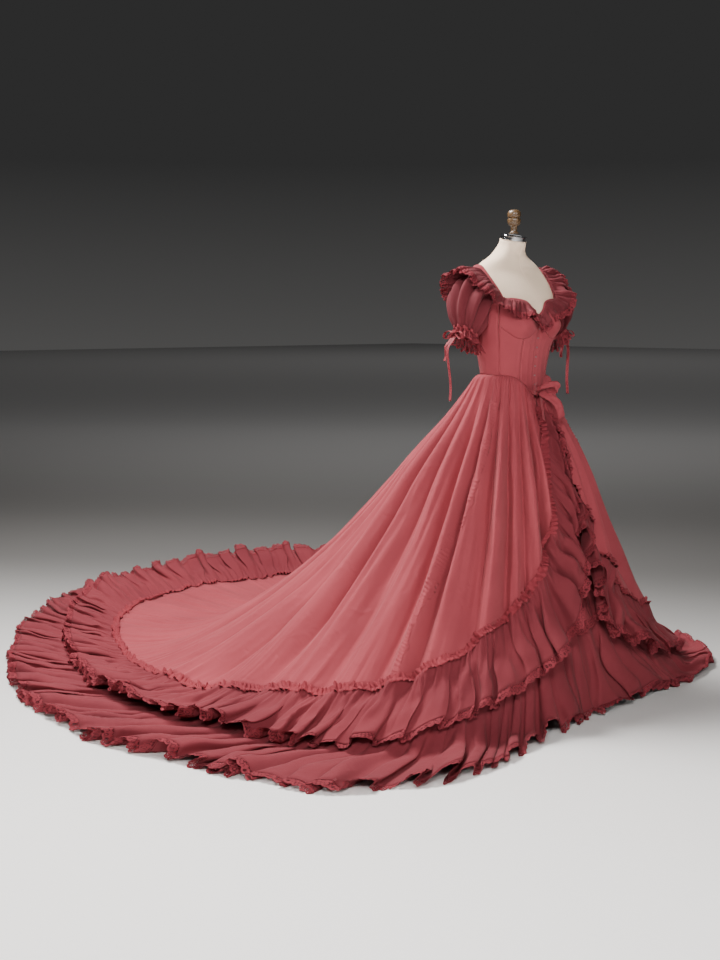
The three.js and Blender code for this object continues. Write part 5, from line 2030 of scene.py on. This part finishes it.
@dataclass(kw_only=True)
class LowerFlounce(Ruffle):
    """The flounce below it, on the underskirt, that lies on the floor."""

    slope: SkirtSlope
    waves: float = 56
    columns: int = 840
    rows: int = 20
    sweep: float = 0.9
    lace_from: float = 0.90
    under_lace: float = 0.015
    middle_gap: float = 0.0006
    lowest: float = 0.0008
    cut_width: float = 0.36

    def surface(self, side: Side, part: Array, down: Array) -> Array:
        """Points of the flounce from its gathers (0) to its lace's points (1)."""
        slope = self.slope
        gathers = Gathers(self.waves, side.seed + 140, 0.5, 0.8, lean=0.34)
        bend = 0.55 / self.waves * noise(side.seed + 145, part * self.waves * 0.55, down * 2.2)
        swept = self.sweep / self.waves * smooth(down, 0.2, 1.0) * smooth(part, 0.12, 0.3)
        bent = np.clip(part + bend * smooth(down, 0.1, 0.9) - swept * smooth(1 - part, 0, 0.1), 0, 1)
        wave = gathers.height(bent)
        sway = gathers.sway(bent) * smooth(down, 0.05, 0.6)
        turn = slope.turn_at(side, 0.1, part + sway, slope.under_edge)
        start = slope.under_edge(side, turn) - 0.008
        apart = smooth(1 - part, 0, 0.008)
        ragged = 0.022 * noise(side.seed + 160, part * self.waves * 0.5) * apart - 0.014 * wave
        ragged = ragged + SWING[side].at("out", turn)
        along = mix(start, slope.hem_at(turn) + ragged * down, down)
        header = mix(0.0036, 0.0075, smooth(turn, 45, 70))
        seated = mix(header, 0.001, smooth(down, 0, 1))
        crumple = 0.011 * noise(side.seed + 170, part * self.waves * 1.6, down * 4) * smooth(down, 0.2, 0.9)
        ridge = ridges(side.seed + 175, bent * self.waves * 1.8, down * 1.6)
        rough = crumple + 0.011 * ridge * smooth(down, 0.05, 0.5)
        lift = seated + (0.002 + 0.046 * down**0.9) * wave + apart * rough
        return slope.point(side.value * turn, along, np.maximum(lift, 0.0011))

    def build(self) -> None:
        """Builds the flounce and its lace on both sides."""
        for side in Side:
            self.sew(("flounce_lower", "flounce_lace_lower", "lower_flounce"), partial(self.surface, side),
                     ["skirt_under"], side)


@dataclass(kw_only=True)
class FrontTier(Ruffle):
    """One of the tiers on the front of the underskirt."""

    slope: SkirtSlope
    name: str
    start: float
    end: float
    spread: float
    seed: int
    columns: int = 220
    lace_columns: int = 220
    rows: int = 16
    waves: float = 13
    lace_from: float = 0.87

    def surface(self, part: Array, down: Array) -> Array:
        """Points of the tier from its gathers (0) to its lace's points (1)."""
        gathers = Gathers(self.waves, self.seed, 0.5, 0.7)
        ruche = Gathers(self.waves * 3, self.seed + 3, 0.5, 1.0)
        turn = mix(-self.spread, self.spread, part + gathers.sway(part) * down) * (1 + 0.12 * down)
        lift = (0.004 + 0.010 * down + 0.016 * down * gathers.height(part)
                + 0.002 * ruche.height(part) * (1 - smooth(down, 0.1, 0.6)))
        return self.slope.point(turn, mix(self.start, self.end, down), lift)

    def build(self) -> None:
        """Builds the tier with its lace."""
        self.sew((f"{self.name}_flounce", f"{self.name}_lace", self.name), self.surface,
                 ["skirt_under_right", "skirt_under_left"])


# ---------------------------------------------------------------- the waist bow


@dataclass
class WaistBow:
    """The bow at the point of the waist."""

    figure: Figure
    knot: float = 0.012
    loop_wide: float = 0.026
    tail_wide: float = 0.028

    def build(self) -> None:
        """Builds the knot, the loops and the tails."""
        figure = self.figure
        seat_up = float(figure.waist(0)) + self.knot + 0.006
        out = -(float(figure.radius(0, seat_up)) + figure.bodice_lift + 0.001 + 0.0005 + 0.8 * self.knot)

        def at(x: float, away: float, up: float) -> Array:
            """A point by its distances from the knot's middle."""
            return np.array([x, out - away, seat_up + up])

        tie_knot("waist_knot", at(0, 0, 0), (self.knot, self.knot * 0.8, self.knot * 0.9), ["bow_knot"])
        for side in Side:
            way = side.value
            loop = [at(way * x, away, up) for x, away, up in (
                (0.012, 0.004, 0.001), (0.030, 0.024, 0.012), (0.050, 0.036, 0.012), (0.062, 0.036, -0.002),
                (0.054, 0.027, -0.012), (0.032, 0.014, -0.005))]
            ribbon(f"waist_loop_{side.word}", loop, np.array([way * 0.25, -0.35, 0.9]), self.loop_wide,
                   [f"bow_loop_{side.word}"], ["waist_knot"], loop=True, finish=COTTON, curl=0.16,
                   crumple=0.10)
            tail = [at(way * x, away, up) for x, away, up in (
                (0.009, 0.008, -0.012), (0.022, 0.034, -0.026), (0.040, 0.054, -0.050),
                (0.046, 0.066, -0.092))]
            ribbon(f"waist_tail_{side.word}", tail, np.array([way * 0.8, -0.3, 0.5]), self.tail_wide,
                   [f"bow_tail_{side.word}"], ["waist_knot"], side=side, finish=COTTON, crumple=0.08)


# ---------------------------------------------------------------- the studio


AZIMUTH = math.radians(-50)


@dataclass(frozen=True)
class FloorFinish(Finish):
    """A pale matt floor with a band of painted shade behind the part, pale again far away as painted light.
    """

    def build(self, nodes: Nodes) -> None:
        """Adds the floor's small changes and its band of painted shade."""
        place = nodes.add("TexCoord").outputs["Object"]
        haze = nodes.add("TexNoise", {"Vector": place, "Scale": 1.5, "Detail": 3.0}).outputs[0]
        xyz = nodes.add("SeparateXYZ", {0: place})
        behind = nodes.maths("ADD", nodes.maths("MULTIPLY", xyz.outputs[0], -math.sin(AZIMUTH)),
                             nodes.maths("MULTIPLY", xyz.outputs[1], math.cos(AZIMUTH)))
        # Painted shade and light: behind the part the floor's colour falls dark, where the lamps' light falls
        # off, then grows pale again far away so that the far floor stays bright.
        swept = nodes.spread(behind, -1.8, 2.2, "SMOOTHSTEP")
        painted_light_far = nodes.spread(behind, 3.4, 10.0, "SMOOTHSTEP")
        painted_shade_then_light = nodes.blend(painted_light_far, (0.14, 0.135, 0.13, 1), (0.96, 0.95, 0.94, 1))
        colour = nodes.blend(swept, nodes.blend(haze, self.shade, self.colour), painted_shade_then_light)
        principled(nodes, Base_Color=colour, Roughness=self.roughness)


FLOOR = FloorFinish("pale_floor", (0.97, 0.95, 0.93, 1), (0.94, 0.92, 0.90, 1))


@dataclass
class Studio:
    """A pale floor with painted shade behind the part, soft light and the camera."""

    floor_size: float = 90.0
    floor_drop: float = 0.0004
    distance: float = 4.0
    height: float = 1.25
    focal: float = 1200.0
    frame_size: tuple[int, int] = (720, 960)
    foot_at: tuple[float, float] = (507.0, 690.0)
    sensor: float = 36.0
    steps: int = 40

    def build(self) -> None:
        """Builds the floor, the lights, the world and the camera."""
        self.floor()
        self.lights()
        self.world()
        self.camera()

    def floor(self) -> Mesh:
        """A wide pale floor, darkened behind the part by painted shade."""
        deselect()
        bpy.ops.mesh.primitive_plane_add(size=self.floor_size, location=(0, 0, -self.floor_drop))
        floor = bpy.context.active_object
        floor.name = "floor"
        floor.data.materials.append(FLOOR.material())
        deselect()
        return floor

    def lights(self) -> None:
        """A broad light from above, a low key, a fill, one for the near floor and two for the far floor."""
        for name, place, aim, size, power, colour in (
            ("top", (-0.9, 1.5, 3.9), (-0.3, 0.6, 0.0), 1.3, 365.0, (1.0, 0.985, 0.97)),
            ("key", (-3.6, 2.6, 2.8), (-0.1, 0.2, 0.6), 1.2, 12.0, (1.0, 0.985, 0.96)),
            ("fill", (-0.9, -4.5, 2.9), (0.0, 0.0, 0.9), 2.0, 74.0, (1.0, 0.985, 0.98)),
            ("floor light", (-3.6, -2.9, 3.2), (-3.0, -2.3, 0.0), 1.4, 235.0, (1.0, 0.975, 0.96)),
            ("near wash", (6.0, 5.6, 5.0), (8.4, 7.6, 0.0), 5.0, 9.0, (1.0, 0.98, 0.97)),
            ("far wash", (26.0, 21.9, 25.0), (26.0, 21.9, 0.0), 12.0, 380.0, (1.0, 0.98, 0.97)),
        ):
            data = bpy.data.lights.new(name, "AREA")
            data.shape, data.size, data.energy, data.color = "SQUARE", size, power, colour
            light = in_scene(name, data)
            light.location = place
            light.rotation_euler = (Vector(aim) - Vector(place)).to_track_quat("-Z", "Y").to_euler()

    def world(self) -> None:
        """Grey surroundings, a little paler towards the horizon."""
        world = bpy.data.worlds.new("surroundings")
        world.use_nodes = True
        nodes = Nodes(world.node_tree)
        way = nodes.add("SeparateXYZ", {0: nodes.add("TexCoord").outputs["Generated"]})
        high = nodes.spread(way.outputs[2], -0.02, 0.125)
        grey = nodes.blend(high, (0.76, 0.745, 0.73, 1), (0.31, 0.31, 0.31, 1))
        nodes.add("OutputWorld", {0: nodes.add("Background", {"Color": grey, "Strength": 0.100}).outputs[0]})
        bpy.context.scene.world = world

    def camera(self) -> bpy.types.Object:
        """The camera, turned so that the foot of the form's axis falls at its place in the frame."""
        wide, tall = self.frame_size
        sine, cosine = math.sin(AZIMUTH), math.cos(AZIMUTH)
        place = Vector((sine * self.distance, -cosine * self.distance, self.height))
        yaw = math.atan2(cosine, -sine) + math.atan((self.foot_at[0] - wide / 2) / self.focal)
        pitch = 0.0
        for _ in range(self.steps):
            level = math.cos(pitch)
            forward = Vector((math.cos(yaw) * level, math.sin(yaw) * level, -math.sin(pitch)))
            right = Vector((math.sin(yaw), -math.cos(yaw), 0))
            upwards = right.cross(forward)
            deep = (-place).dot(forward)
            x = wide / 2 + self.focal * (-place).dot(right) / deep
            y = tall / 2 - self.focal * (-place).dot(upwards) / deep
            yaw += (self.foot_at[0] - x) / self.focal
            pitch -= (self.foot_at[1] - y) / self.focal
        data = bpy.data.cameras.new("camera")
        data.sensor_width = self.sensor
        data.sensor_fit = "AUTO"
        data.lens = self.focal * self.sensor / tall
        camera = in_scene("camera", data)
        camera.location = place
        camera.rotation_euler = forward.to_track_quat("-Z", "Y").to_euler()
        bpy.context.scene.camera = camera
        return camera


def main() -> None:
    """Builds the studio, the form and the gown, in order."""
    logging.basicConfig(level=logging.INFO, format="%(name)s: %(message)s")
    figure = Figure()
    slope = SkirtSlope(figure)
    overskirt = Overskirt(slope)
    Studio().build()
    tiers = (
        FrontTier(slope=slope, name="tier_top", start=0.330, end=0.575, spread=21, seed=71),
        FrontTier(slope=slope, name="tier_middle", start=0.545, end=0.790, spread=30, seed=73),
    )
    flounces = LowerFlounce(slope=slope), UpperFlounce(slope=slope, overskirt=overskirt)
    for part in (DressForm(figure), Underskirt(slope), overskirt, *tiers, *flounces, Bodice(figure),
                 Sleeves(), NeckRuffle(figure=figure), WaistBow(figure)):
        part.build()
        LOG.info("%s is built", type(part).__name__)


if __name__ == "__main__":
    main()
